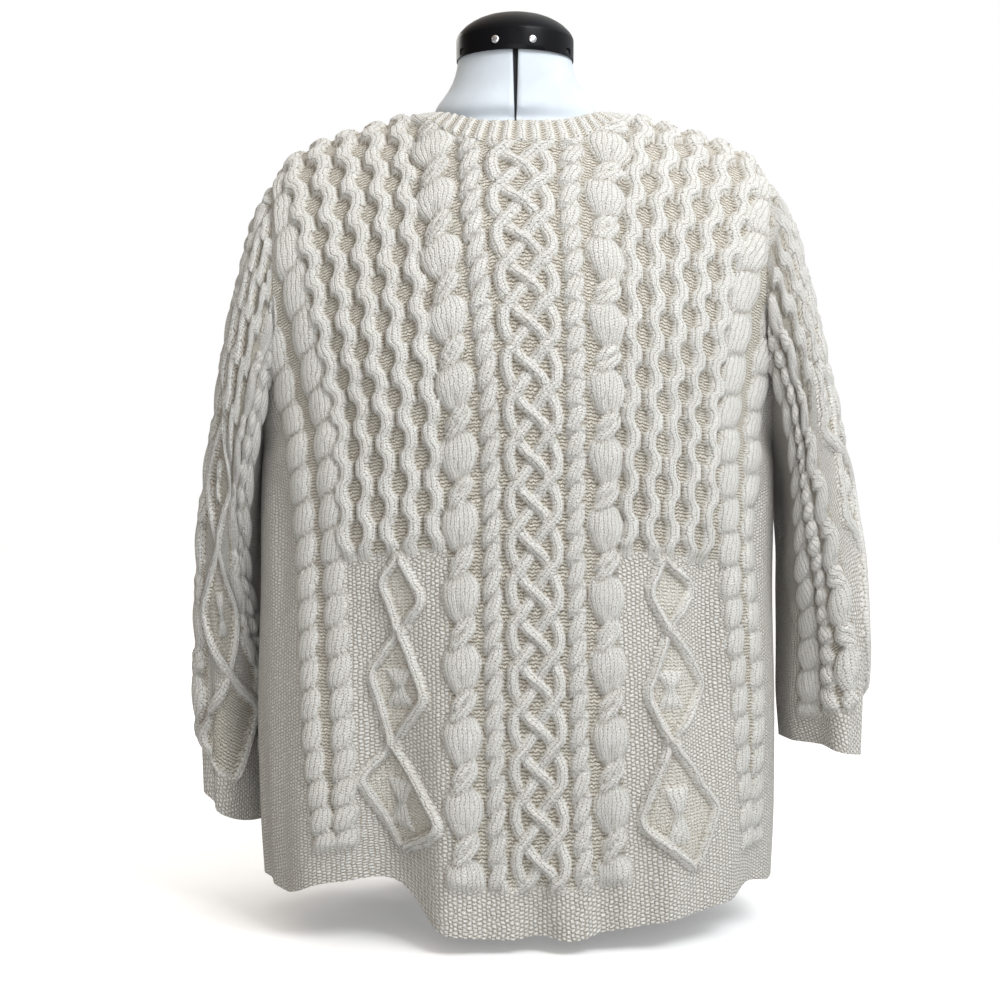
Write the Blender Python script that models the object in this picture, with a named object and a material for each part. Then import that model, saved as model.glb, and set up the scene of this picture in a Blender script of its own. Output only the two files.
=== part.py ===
"""Aran cable knit sweater standing on a limbless dress form.

Metres, +Z up. The origin is the centre of the base plate's underside. The back of the sweater
faces -Y, so the wearer's right sleeve is at +X. Each knitted piece is a wall: plain inside, with
its cables raised on the outside, and open at the neck, the hem, the cuffs and the armholes.
"""

import math

import bmesh
import bpy
import numpy as np

# ---------------------------------------------------------------- driving dimensions
WALL = 0.004              # thickness of the knitted ground
SEAM_GAP = 0.00035        # between two pieces that are sewn together
PANEL_LENGTH = 0.740      # down the middle of a panel, shoulder line to hem
HEM_BAND = 0.038          # moss stitch border at the hem
NECK_CORNER = 0.073       # cloth distance from the middle to the end of the shoulder seam
UNDERARM_ROW = 16         # of PANEL_ROWS, counted from the shoulder
PANEL_ROWS = 36
SLEEVE_ROWS = 22
SLEEVE_COLUMNS = 32
CABLE_RISE = 0.0055       # crest of a cable over the ground
COMB_REPEAT = 0.034       # height of a honeycomb cell
COMB_END = 0.437          # where the honeycomb gives way to the diamonds
ROPE_REPEAT = 0.0213
EGG_REPEAT = 0.049
OVAL_REPEAT = 0.0295

WOOL_COLOUR = (0.80, 0.75, 0.66, 1.0)
FORM_COLOUR = (0.78, 0.80, 0.83, 1.0)
CAP_COLOUR = (0.008, 0.008, 0.010, 1.0)
STEEL_COLOUR = (0.62, 0.62, 0.64, 1.0)
BASE_COLOUR = (0.72, 0.72, 0.73, 1.0)

# Rows down a panel. share: part of its length; mid_y, mid_z: its middle; edge_x, edge_y, edge_z:
# its side edge, the armhole and then the side seam; turn: how far the section has turned there,
# in degrees; tip: how much of the drop comes at the very edge; half: half width of the cloth.
ROW_COLUMNS = ("share", "mid_y", "mid_z", "edge_x", "edge_y", "edge_z", "turn", "tip", "half", "shift")
BACK_ROWS = (
    (0.00, 0.000, 0.689, 0.2050, 0.000, 0.620, 52, 0.33, 0.165, 0.005),
    (0.05, 0.036, 0.681, 0.2070, 0.028, 0.603, 52, 0.20, 0.166, 0.005),
    (0.12, 0.071, 0.648, 0.2035, 0.054, 0.567, 53, 0.05, 0.170, 0.004),
    (0.20, 0.098, 0.599, 0.2000, 0.070, 0.518, 56, 0.00, 0.180, 0.003),
    (0.29, 0.122, 0.537, 0.2040, 0.062, 0.461, 62, 0.00, 0.200, 0.003),
    (0.37, 0.134, 0.479, 0.2110, 0.037, 0.414, 74, 0.00, 0.232, 0.002),
    (0.445, 0.138, 0.422, 0.2155, 0.000, 0.380, 90, 0.00, 0.280, 0.002),
    (0.60, 0.138, 0.308, 0.2155, 0.000, 0.288, 90, 0.00, 0.288, 0.001),
    (0.80, 0.141, 0.160, 0.2175, 0.000, 0.162, 90, 0.00, 0.288, 0.001),
    (1.00, 0.146, 0.012, 0.2130, 0.000, 0.040, 90, 0.00, 0.284, 0.002),
)
FRONT_ROWS = (
    (0.00, 0.000, 0.689, 0.2050, 0.000, 0.620, 52, 0.33, 0.165, 0.005),
    (0.05, 0.036, 0.681, 0.2070, 0.028, 0.603, 52, 0.20, 0.166, 0.005),
    (0.12, 0.073, 0.648, 0.2035, 0.054, 0.567, 53, 0.05, 0.170, 0.004),
    (0.20, 0.103, 0.600, 0.2000, 0.070, 0.518, 56, 0.00, 0.180, 0.003),
    (0.29, 0.127, 0.537, 0.2040, 0.062, 0.461, 62, 0.00, 0.200, 0.003),
    (0.37, 0.139, 0.479, 0.2110, 0.037, 0.414, 74, 0.00, 0.232, 0.002),
    (0.445, 0.143, 0.422, 0.2155, 0.000, 0.380, 90, 0.00, 0.280, 0.002),
    (0.60, 0.141, 0.308, 0.2155, 0.000, 0.288, 90, 0.00, 0.288, 0.001),
    (0.80, 0.141, 0.160, 0.2175, 0.000, 0.162, 90, 0.00, 0.288, 0.001),
    (1.00, 0.143, 0.012, 0.2130, 0.000, 0.040, 90, 0.00, 0.284, 0.002),
)
SECTION_POWER = 0.88      # below 1 squares the body's section a little

# Neck edges, as shares of the panel's length at its middle: the seam, and the band's free edge.
BACK_NECK = (0.137, 0.101)
FRONT_NECK = (0.203, 0.168)
BAND_CORNER = 0.060       # cloth distance from the middle to the band's free edge at the shoulder
NECK_POWER = 2.6
BAND_RIB = 0.0095         # width of one rib of the neckband with its groove
BAND_RISE = 0.0022
BAND_GAP = 0.0006

# Folds of the hanging cloth. at: cloth distance from the middle; width: half width; start, full:
# distances down where it starts and is deepest; end: where it has gone (past the hem if it runs
# out there); depth: outwards; lift: how far it draws the cloth up.
FOLD_COLUMNS = ("at", "lean", "width", "start", "full", "end", "depth", "lift")
BACK_FOLDS = (
    (-0.104, 0.006, 0.044, 0.380, 0.760, 1.50, -0.026, 0.010),
    (-0.128, 0.000, 0.075, 0.560, 0.760, 1.50, 0.000, 0.026),
    (-0.170, 0.000, 0.034, 0.400, 0.760, 1.50, 0.008, 0.000),
    (-0.050, 0.000, 0.028, 0.440, 0.760, 1.50, 0.006, 0.000),
    (0.158, -0.006, 0.026, 0.360, 0.500, 0.68, -0.011, 0.000),
    (0.120, 0.000, 0.024, 0.500, 0.650, 0.90, 0.006, 0.000),
    (0.008, 0.006, 0.020, 0.640, 0.760, 1.50, -0.008, 0.002),
    (0.036, 0.006, 0.022, 0.640, 0.760, 1.50, 0.005, -0.003),
    (0.205, 0.000, 0.032, 0.560, 0.760, 1.50, -0.006, 0.006),
)
FRONT_FOLDS = (
    (-0.130, -0.006, 0.042, 0.400, 0.760, 1.50, -0.021, 0.010),
    (-0.070, 0.000, 0.030, 0.460, 0.760, 1.50, 0.007, 0.000),
    (0.100, 0.010, 0.042, 0.360, 0.760, 1.50, -0.023, 0.012),
    (0.160, 0.000, 0.030, 0.440, 0.760, 1.50, 0.008, 0.000),
    (0.010, -0.006, 0.030, 0.520, 0.760, 1.50, -0.010, 0.002),
    (-0.205, 0.000, 0.032, 0.520, 0.760, 1.50, -0.007, 0.004),
)

# Grid lines across half a panel: distance from the middle, what the line is, its number.
LINES = (
    (0.0000, "plait", 0), (0.0070, "plait", 1), (0.0140, "plait", 2), (0.0210, "ground", 0),
    (0.0325, "rope", 0), (0.0420, "ground", 0),
    (0.0490, "egg_side", 0), (0.0560, "egg", 0), (0.0630, "egg_side", 0),
    (0.0730, "comb", 0), (0.0813, "comb", 1), (0.0896, "comb", 2), (0.0979, "comb", 3),
    (0.1062, "comb", 4), (0.1145, "comb", 5), (0.1228, "comb", 6), (0.1311, "comb", 7),
    (0.1394, "comb", 8), (0.1477, "comb", 9), (0.1560, "comb", 10),
    (0.1740, "oval", 0), (0.1890, "ground", 0), (0.2030, "oval", 1),
    (0.2165, "ground", 0), (0.2500, "moss", 0), (0.2880, "ground", 0),
)
FIXED_LINES = 0.1560      # lines out to here keep their place; those beyond share what is left
HALF_CLOTH = 0.2880

# The diamonds' two cords: distance down, inner cord and outer cord from the middle.
DIAMOND_COLUMNS = ("down", "inner", "outer")
DIAMONDS = (
    (0.447, 0.104, 0.105), (0.470, 0.087, 0.123), (0.503, 0.103, 0.105), (0.549, 0.086, 0.133),
    (0.592, 0.104, 0.106), (0.652, 0.074, 0.151), (0.697, 0.113, 0.115),
)

DIAMOND_PANEL = (0.0730, 0.1560)

# The pattern drifts to the wearer's right as it hangs: distance down, and how far.
DRIFT_COLUMNS = ("down", "right")
DRIFT = (
    (0.000, 0.0000), (0.155, 0.0000), (0.210, 0.0035), (0.330, 0.0100), (0.560, 0.0145), (0.740, 0.0180),
)

# Grid lines round a sleeve, from the middle of its pattern; those after them share the rest.
SLEEVE_LINES = (
    (0.0000, "comb", 5), (0.0085, "comb", 6), (0.0170, "comb", 7), (0.0255, "comb", 8),
    (0.0340, "comb", 9), (0.0425, "comb", 10),
    (0.0580, "egg", 0), (0.0705, "ground", 0), (0.0815, "rope", 0), (0.0920, "ground", 0),
    (0.1060, "oval", 0), (0.1200, "ground", 0),
)
SLEEVE_COMB_END = 0.230
SLEEVE_DIAMOND_WIDTH = 0.026
SLEEVE_DIAMOND_REPEAT = 0.110
SLEEVE_LENGTH = 0.480

# Sleeve rings. mid_x, mid_y: middle; half_x, half_y: half widths; outer_z, inner_z: height of its
# outer and inner lines; yaw: in degrees; turned: how far its pattern is turned to the back.
RING_COLUMNS = ("down", "mid_x", "mid_y", "half_x", "half_y", "outer_z", "inner_z", "yaw", "turned")
RIGHT_RINGS = (
    (0.00, 0.2133, 0.000, -0.0040, 0.070, 0.620, 0.380, 0, 0.000),
    (0.12, 0.2245, 0.000, 0.0015, 0.080, 0.588, 0.356, 0, 0.000),
    (0.25, 0.2315, 0.002, 0.0070, 0.084, 0.545, 0.334, 0, 0.000),
    (0.40, 0.2390, 0.003, 0.0140, 0.084, 0.487, 0.304, 0, -0.012),
    (0.55, 0.2460, 0.004, 0.0215, 0.082, 0.422, 0.270, 2, -0.026),
    (0.70, 0.2535, 0.006, 0.0290, 0.077, 0.345, 0.237, 4, -0.038),
    (0.85, 0.2590, 0.008, 0.0345, 0.073, 0.250, 0.196, 6, -0.046),
    (1.00, 0.2575, 0.010, 0.0310, 0.068, 0.137, 0.149, 8, -0.050),
)
LEFT_RINGS = (
    (0.00, -0.2070, 0.000, -0.0060, 0.070, 0.620, 0.380, 0, 0.000),
    (0.12, -0.2160, 0.002, 0.0000, 0.080, 0.585, 0.350, 0, 0.000),
    (0.25, -0.2210, 0.006, 0.0040, 0.084, 0.540, 0.323, -3, 0.006),
    (0.40, -0.2285, 0.014, 0.0070, 0.083, 0.478, 0.286, -6, 0.020),
    (0.55, -0.2345, 0.026, 0.0130, 0.080, 0.406, 0.245, -9, 0.040),
    (0.70, -0.2390, 0.038, 0.0195, 0.076, 0.316, 0.200, -12, 0.058),
    (0.85, -0.2395, 0.048, 0.0220, 0.072, 0.215, 0.146, -14, 0.068),
    (1.00, -0.2390, 0.056, 0.0205, 0.068, 0.110, 0.072, -15, 0.070),
)
# Folds along a sleeve. at: share of the way round from its outer line, by the back; width: half
# width as a share; start, full: shares down; depth: outwards.
SLEEVE_FOLD_COLUMNS = ("at", "width", "start", "full", "depth")
RIGHT_SLEEVE_FOLDS = ((0.335, 0.095, 0.52, 0.85, -0.010), (0.62, 0.090, 0.30, 0.70, -0.008))
LEFT_SLEEVE_FOLDS = ((0.250, 0.070, 0.66, 0.88, -0.007), (0.70, 0.090, 0.35, 0.75, -0.008))

# Dress form: rings up the torso and neck.
FORM_RINGS = (            # z, half_x, back, front
    (0.1660, 0.148, 0.088, 0.093), (0.1720, 0.160, 0.099, 0.104), (0.2000, 0.168, 0.106, 0.112),
    (0.2500, 0.163, 0.103, 0.110), (0.3000, 0.147, 0.092, 0.100), (0.3500, 0.132, 0.082, 0.092),
    (0.4000, 0.136, 0.086, 0.100), (0.4500, 0.148, 0.096, 0.116), (0.4900, 0.156, 0.102, 0.122),
    (0.5300, 0.164, 0.100, 0.114), (0.5700, 0.176, 0.090, 0.096), (0.6000, 0.185, 0.078, 0.082),
)
SHOULDER_DEPTHS = (       # z, back, front: the half width follows the sweater's shoulder line
    (0.6180, 0.070, 0.073), (0.6320, 0.060, 0.066), (0.6430, 0.056, 0.062), (0.6520, 0.054, 0.059),
    (0.6600, 0.053, 0.057), (0.6660, 0.052, 0.055),
)
NECK_RINGS = (            # z, half_x, back, front
    (0.6735, 0.0700, 0.0500, 0.0520), (0.6815, 0.0690, 0.0485, 0.0510), (0.6900, 0.0615, 0.0465, 0.0485),
    (0.6985, 0.0560, 0.0450, 0.0470), (0.7075, 0.0520, 0.0442, 0.0460), (0.7170, 0.0495, 0.0438, 0.0455),
    (0.7300, 0.0485, 0.0435, 0.0450), (0.7380, 0.0480, 0.0430, 0.0445),
)
FORM_CLEARANCE = 0.0007   # sweater over the ridge of the form's shoulders
BACK_CLEARANCE = 0.0048   # behind that ridge
FRONT_CLEARANCE = 0.0078  # and in front of it
FORM_SIDES = 22
SLIT_DEPTH = 0.004
SLIT_TOP_WIDTH = 0.0045
SLIT_BOTTOM_WIDTH = 0.0014
SLIT_BOTTOM = 0.640

CAP_BOTTOM = 0.7215
CAP_HALF_X = 0.0497
CAP_HALF_Y = 0.0468
CAP_SIDES = 32
CAP_OUTER = (             # share of the half widths, height over the cap's lower edge
    (0.9988, 0.0000), (1.000, 0.0006), (1.000, 0.0177), (1.020, 0.0185), (1.015, 0.0197), (0.930, 0.0270),
    (0.780, 0.0335), (0.560, 0.0385), (0.300, 0.0412), (0.100, 0.0420),
)
CAP_INNER = ((0.100, 0.0225), (0.700, 0.0215), (0.9758, 0.0170))   # over the top of the neck
SCREW_RADIUS = 0.0033
SCREW_HEAD = 0.0016
SCREW_Z = 0.7300
SCREW_PLACES = (("cap_screw_left", -0.0165), ("cap_screw_right", 0.0140))

POST_RADIUS = 0.0125
BASE_RADIUS = 0.074
BASE_THICKNESS = 0.014
TOUCH_GAP = 0.0003        # between hard pieces that stand on one another


# ---------------------------------------------------------------- tables and curves
def column(table, names, name):
    return np.array([row[names.index(name)] for row in table], float)


def smooth(at, known_at, known):
    """A curve through the known values that doesn't overshoot them."""
    at = np.clip(np.asarray(at, float), known_at[0], known_at[-1])
    step = np.diff(known) / np.diff(known_at)
    inner = step[:-1] * step[1:]
    middle = np.where(inner > 0, 2 * inner / (step[:-1] + step[1:] + 1e-12), 0)
    slope = np.concatenate([step[:1], middle, step[-1:]])
    place = np.clip(np.searchsorted(known_at, at, side="right") - 1, 0, len(known_at) - 2)
    span = known_at[place + 1] - known_at[place]
    t = (at - known_at[place]) / span
    start = (1 + 2 * t) * (1 - t) ** 2 * known[place]
    start_slope = t * (1 - t) ** 2 * span * slope[place]
    end = t * t * (3 - 2 * t) * known[place + 1]
    end_slope = t * t * (t - 1) * span * slope[place + 1]
    return start + start_slope + end + end_slope


def ramp(value, start, end):
    t = np.clip((value - start) / (end - start), 0, 1)
    return t * t * (3 - 2 * t)


def row_value(rows, name, share):
    return smooth(share, column(rows, ROW_COLUMNS, "share"), column(rows, ROW_COLUMNS, name))


def unit(vectors):
    return vectors / np.maximum(np.linalg.norm(vectors, axis=-1, keepdims=True), 1e-9)


# ---------------------------------------------------------------- the hanging cloth of a panel
def fold_offsets(folds, across, down):
    """How far the folds push the cloth outwards and draw it up."""
    out = np.zeros(np.broadcast(across, down).shape)
    up = np.zeros_like(out)
    for fold in folds:
        value = dict(zip(FOLD_COLUMNS, fold))
        grown = ramp(down, value["start"], value["full"])
        middle = value["at"] + value["lean"] * grown
        near = np.clip(np.abs(across - middle) / value["width"], 0, 1)
        bulge = (1 - near * near) ** 2 * grown * (1 - ramp(down, value["full"], value["end"]))
        out += value["depth"] * bulge
        up += value["lift"] * bulge * grown
    return out, up


class Panel:
    """The outer ground surface of the back (side -1) or the front (side 1), as a dense grid."""

    SHARES = 161
    PLACES = 161

    def __init__(self, rows, folds, side, neck):
        self.rows, self.side, self.neck = rows, side, neck
        self.shares = np.linspace(0, 1, self.SHARES)
        self.places = np.linspace(-1, 1, self.PLACES)
        points = np.array([self.section(share) for share in self.shares])
        half = row_value(rows, "half", self.shares)[:, None]
        across = half * self.places[None, :]
        down = PANEL_LENGTH * self.shares[:, None]
        out, up = fold_offsets(folds, across, down)
        points = points + self.slopes(points) * out[..., None]
        points[..., 2] += up
        self.points = points
        self.normals = self.slopes(points)

    def section(self, share):
        """One row across the panel, its points spaced evenly along it."""
        value = {name: float(row_value(self.rows, name, share)) for name in ROW_COLUMNS[1:]}
        turn = math.radians(value["turn"])
        angle = np.linspace(0, turn, 240)
        reach = np.sin(angle) ** SECTION_POWER / math.sin(turn) ** SECTION_POWER
        last = max(math.cos(turn), 0.0) ** SECTION_POWER
        bow = (np.maximum(np.cos(angle), 0) ** SECTION_POWER - last) / (1 - last)
        soft = (np.sqrt(reach**2 + 0.09) - 0.3) / (math.sqrt(1.09) - 0.3)
        drop = (1 - value["tip"]) * soft + value["tip"] * reach**16
        x = value["edge_x"] * reach
        y = value["edge_y"] + (value["mid_y"] - value["edge_y"]) * bow
        z = value["mid_z"] - (value["mid_z"] - value["edge_z"]) * drop
        run = np.concatenate([[0], np.cumsum(np.sqrt(np.diff(x) ** 2 + np.diff(y) ** 2 + np.diff(z) ** 2))])
        wanted = np.abs(self.places) * run[-1]
        x = np.interp(wanted, run, x) * np.sign(self.places) + value["shift"]
        y = self.side * (np.interp(wanted, run, y) + SEAM_GAP / 2)
        return np.stack([x, y, np.interp(wanted, run, z)], axis=-1)

    def slopes(self, points):
        """Outward normals. At the seams they lie in the seam's own plane."""
        down = np.gradient(points, axis=0)
        across = np.gradient(points, axis=1)
        normals = unit(np.cross(down, across)) * -self.side
        normals[0, :, 1] = 0
        below = self.shares > row_share_of_underarm()
        normals[below, 0, 1] = 0
        normals[below, -1, 1] = 0
        return unit(normals)

    def read(self, grid, across, share):
        """Values of a grid at cloth distances from the middle and shares of the length."""
        half = row_value(self.rows, "half", share)
        column_at = (np.clip(across / half, -1, 1) + 1) / 2 * (self.PLACES - 1)
        row_at = np.clip(share, 0, 1) * (self.SHARES - 1)
        i = np.minimum(row_at.astype(int), self.SHARES - 2)
        j = np.minimum(column_at.astype(int), self.PLACES - 2)
        v = (row_at - i)[..., None]
        u = (column_at - j)[..., None]
        above = grid[i, j] * (1 - u) + grid[i, j + 1] * u
        below = grid[i + 1, j] * (1 - u) + grid[i + 1, j + 1] * u
        return above * (1 - v) + below * v

    def top_share(self, across, edge=0):
        """Where the panel starts: at the shoulder line, or lower at the neck's edge."""
        corner = (NECK_CORNER, BAND_CORNER)[edge]
        inside = np.clip(np.abs(across) / corner, 0, 1)
        return self.neck[edge] * (1 - inside**NECK_POWER)


def row_share_of_underarm():
    return UNDERARM_ROW / PANEL_ROWS - 1e-6


# ---------------------------------------------------------------- cables
def plait_rise(across, down):
    """Three round cords that cross over one another down the middle."""
    rise = np.zeros_like(across)
    for cord in range(3):
        turn = 2 * math.pi * (down / (2 * COMB_REPEAT) + cord / 3)
        near = np.abs(across - 0.0125 * np.sin(turn)) / 0.0075
        rise = np.maximum(rise, np.sqrt(np.clip(1 - near * near, 0, 1)))
    return rise


def wave(down, repeat):
    return 0.5 + 0.5 * np.cos(2 * math.pi * down / repeat)


def comb_shift(number, row):
    """A honeycomb cord leans away from a cell, and back half a repeat lower."""
    if number % 2 == 0:
        return 0.0
    return 0.0034 * (-1) ** ((number - 1) // 2 + row)


def panel_columns():
    """The lines across the whole panel, left to right."""
    right = list(LINES)
    left = [(-at, kind, number) for at, kind, number in reversed(LINES[1:])]
    return left + right


def panel_grid(panel):
    """Cloth coordinates and rise of each outer point, as (rows, columns) arrays."""
    lines = panel_columns()
    across = np.zeros((PANEL_ROWS + 1, len(lines)))
    plain = np.zeros_like(across)
    share = np.zeros_like(across)
    rise = np.zeros_like(across)
    for j, (at, kind, number) in enumerate(lines):
        top = float(panel.top_share(np.array(at))) if abs(at) < NECK_CORNER - 1e-6 else 0.0
        share[:, j] = top + (1 - top) * np.arange(PANEL_ROWS + 1) / PANEL_ROWS
        down = share[:, j] * PANEL_LENGTH
        half = row_value(panel.rows, "half", share[:, j])
        room = (half - FIXED_LINES) / (HALF_CLOTH - FIXED_LINES)
        size = abs(at)
        place = np.full(PANEL_ROWS + 1, size)
        if size > FIXED_LINES:
            place = FIXED_LINES + (size - FIXED_LINES) * room
        steady = place
        if kind == "plait":
            rise[:, j] = plait_rise(np.full(PANEL_ROWS + 1, at), down)
        elif kind == "rope":
            rise[:, j] = 0.72 + 0.16 * wave(down, ROPE_REPEAT)
        elif kind == "egg":
            rise[:, j] = 0.55 + 0.5 * wave(down, EGG_REPEAT)
        elif kind == "egg_side":
            rise[:, j] = 0.30 + 0.5 * wave(down, EGG_REPEAT)
        elif kind == "oval":
            swell = wave(down + number * OVAL_REPEAT / 2, OVAL_REPEAT)
            rise[:, j] = (0.55 + 0.4 * swell) * np.clip(room, 0, 1)
        elif kind == "moss":
            rise[:, j] = 0.08
        elif kind == "comb":
            place, rise[:, j] = comb_line(number, place, down)
        rise[:, j] *= 1 - ramp(down, PANEL_LENGTH - HEM_BAND - 0.012, PANEL_LENGTH - HEM_BAND + 0.004)
        across[:, j] = drifted(place * (1 if at >= 0 else -1), down, half)
        plain[:, j] = drifted(steady * (1 if at >= 0 else -1), down, half)
    edges = np.minimum(ramp(np.arange(PANEL_ROWS + 1), 0, 1.5)[:, None], np.ones((1, len(lines))))
    return across, plain, share, rise * edges * CABLE_RISE


def drifted(across, down, half):
    """Where a place of the pattern lies once it has drifted. The side edges keep theirs."""
    right = smooth(down, column(DRIFT, DRIFT_COLUMNS, "down"), column(DRIFT, DRIFT_COLUMNS, "right"))
    return across + right * (1 - (across / half) ** 2)


def comb_line(number, place, down):
    """One line of the honeycomb, which becomes a line of the diamonds lower down."""
    rows = np.arange(PANEL_ROWS + 1)
    shift = np.array([comb_shift(number, int(row)) for row in rows])
    shift[0] = 0
    honeycomb = place + shift
    crest = 0.85 if number % 2 else 0.12
    known = column(DIAMONDS, DIAMOND_COLUMNS, "down")
    inner = smooth(down, known, column(DIAMONDS, DIAMOND_COLUMNS, "inner"))
    outer = smooth(down, known, column(DIAMONDS, DIAMOND_COLUMNS, "outer"))
    inner = np.clip(inner, 0.0785, 0.1095)
    outer = np.clip(outer, 0.1165, 0.1500)
    start, end = DIAMOND_PANEL
    if number <= 3:
        diamond = start + (inner - start) * number / 3
    elif number <= 7:
        diamond = inner + (outer - inner) * (number - 3) / 4
    else:
        diamond = outer + (end - outer) * (number - 7) / 3
    low = ramp(down, COMB_END - 0.008, COMB_END + 0.012)
    ridge = 0.8 if number in (3, 7) else 0.0
    place = honeycomb * (1 - low) + diamond * low
    return place, np.where(down < COMB_END, crest, ridge)


# ---------------------------------------------------------------- meshes
def material(name, colour, roughness, metallic=0.0):
    made = bpy.data.materials.new(name)
    made.use_nodes = True
    shader = made.node_tree.nodes["Principled BSDF"]
    shader.inputs["Base Color"].default_value = colour
    shader.inputs["Roughness"].default_value = roughness
    shader.inputs["Metallic"].default_value = metallic
    made.diffuse_color = colour
    return made


def add_object(name, points, faces, finish, smooth_angle=50):
    mesh = bpy.data.meshes.new(name)
    mesh.from_pydata([tuple(map(float, point)) for point in points], [], faces)
    shape = bmesh.new()
    shape.from_mesh(mesh)
    bmesh.ops.triangulate(shape, faces=shape.faces)
    bmesh.ops.recalc_face_normals(shape, faces=shape.faces)
    shape.to_mesh(mesh)
    shape.free()
    mesh.shade_smooth()
    mesh.set_sharp_from_angle(angle=math.radians(smooth_angle))
    mesh.materials.append(finish)
    made = bpy.data.objects.new(name, mesh)
    bpy.context.scene.collection.objects.link(made)
    return made


def rim(outer, inner):
    """Faces between an outer edge and an inner edge with half as many steps."""
    faces = []
    for k in range(len(inner) - 1):
        a, b, c = outer[2 * k], outer[2 * k + 1], outer[2 * k + 2]
        faces += [(a, b, inner[k]), (b, c, inner[k + 1]), (b, inner[k + 1], inner[k])]
    return faces


def wall(name, outer, inner, closed, finish):
    """A wall from its outer points and an inner grid with half the steps each way."""
    rows, columns = outer.shape[:2]
    few_rows, few_columns = inner.shape[:2]
    outside = np.arange(rows * columns).reshape(rows, columns)
    inside = rows * columns + np.arange(few_rows * few_columns).reshape(few_rows, few_columns)
    if closed:
        outside = np.concatenate([outside, outside[:, :1]], axis=1)
        inside = np.concatenate([inside, inside[:, :1]], axis=1)
    faces = []
    for grid in (outside, inside):
        for i in range(grid.shape[0] - 1):
            for j in range(grid.shape[1] - 1):
                faces.append((grid[i, j], grid[i, j + 1], grid[i + 1, j + 1], grid[i + 1, j]))
    faces += rim(outside[0], inside[0]) + rim(outside[-1], inside[-1])
    if not closed:
        faces += rim(outside[:, 0], inside[:, 0]) + rim(outside[:, -1], inside[:, -1])
    faces = [tuple(int(k) for k in face) for face in faces]
    points = np.concatenate([outer.reshape(-1, 3), inner.reshape(-1, 3)])
    return add_object(name, points, faces, finish)


def lathe(name, rings, finish, angle=40):
    """A closed body through rings of points, with flat ends."""
    count = len(rings[0])
    points = [point for ring in rings for point in ring]
    faces = []
    for i in range(len(rings) - 1):
        for j in range(count):
            k = (j + 1) % count
            faces.append((i * count + j, i * count + k, (i + 1) * count + k, (i + 1) * count + j))
    faces.append(tuple(range(count)))
    faces.append(tuple((len(rings) - 1) * count + j for j in range(count)))
    return add_object(name, points, faces, finish, angle)


# ---------------------------------------------------------------- front and back
def lay_panel(panel):
    """Points and normals of a panel's outer grid and of its plain inner one, and the outer rise."""
    across, plain, share, rise = panel_grid(panel)
    laid = []
    for places in (across, plain):
        laid.append(panel.read(panel.points, places, share))
        laid.append(unit(panel.read(panel.normals, places, share)))
    return laid + [rise]


def armhole(back, front, column_at):
    """The armhole's points and normals: shoulder, down the back to the underarm, up the front."""
    loops = []
    for k in range(2):
        down = back[k][: UNDERARM_ROW + 1, column_at]
        up = front[k][: UNDERARM_ROW + 1, column_at][::-1]
        loops.append(np.concatenate([down[:-1], up[:-1]]))
    points, normals = loops
    points[0, 1] = 0
    points[UNDERARM_ROW, 1] = 0
    return points, unit(normals)


def share_seam_normals(back, front, column_at, normals):
    """Gives both panels the armhole seam's own normals along their edges."""
    for k in (1, 3):
        back[k][: UNDERARM_ROW + 1, column_at] = normals[: UNDERARM_ROW + 1]
        front[k][: UNDERARM_ROW + 1, column_at] = np.roll(normals[::-1], 1, axis=0)[: UNDERARM_ROW + 1]


def build_panel(name, laid, finish):
    ground, normals, plain_ground, plain_normals, rise = laid
    outer = ground + normals * rise[..., None]
    inner = (plain_ground - plain_normals * WALL)[::2, ::2]
    wall(name, outer, inner, False, finish)


# ---------------------------------------------------------------- sleeves
def loop_shares(points):
    closed = np.concatenate([points, points[:1]])
    run = np.concatenate([[0], np.cumsum(np.linalg.norm(np.diff(closed, axis=0), axis=1))])
    return run[:-1] / run[-1], run[-1]


def read_loop(points, shares):
    closed = np.concatenate([points, points[:1]])
    at, _ = loop_shares(points)
    at = np.append(at, 1.0)
    return np.stack([np.interp(shares % 1, at, closed[:, k]) for k in range(3)], axis=-1)


def ring_loop(rings, side, down):
    """An even flattened ring, from its outer point towards the back."""
    value = {name: ring_value(rings, name, down) for name in RING_COLUMNS[1:]}
    angle = np.linspace(0, 2 * math.pi, 180, endpoint=False)
    yaw = math.radians(value["yaw"])
    thick = side * value["half_x"] * np.cos(angle)
    wide = -value["half_y"] * np.sin(angle)
    x = value["mid_x"] + thick * math.cos(yaw) - wide * math.sin(yaw)
    y = value["mid_y"] + thick * math.sin(yaw) + wide * math.cos(yaw)
    middle = (value["outer_z"] + value["inner_z"]) / 2
    z = middle + (value["outer_z"] - value["inner_z"]) / 2 * np.cos(angle)
    return np.stack([x, y, z], axis=-1)


def sleeve_lines():
    """Columns round the sleeve, from its underarm line: cloth distance (None if shared), kind, number."""
    right = list(SLEEVE_LINES)
    spare = (SLEEVE_COLUMNS - (2 * len(right) - 1) - 1) // 2
    left = []
    for at, kind, number in reversed(right[1:]):
        left.append((-at, kind, 10 - number if kind == "comb" else number))
    loose = [(None, "ground", k) for k in range(spare)]
    return [(None, "seam", 0)] + loose + left + right + loose


def sleeve_places(lines, girth):
    """Distance of each column from the middle of the pattern, on a ring of this girth."""
    last = SLEEVE_LINES[-1][0]
    spare = sum(1 for line in lines if line[0] is None)
    gap = (girth / 2 - last) / ((spare + 1) / 2)
    places = [-girth / 2]
    for k in range((spare - 1) // 2):
        places.append(-girth / 2 + gap * (k + 1))
    places += [line[0] for line in lines if line[0] is not None]
    for k in range((spare - 1) // 2):
        places.append(last + gap * (k + 1))
    return np.array(places)


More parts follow.
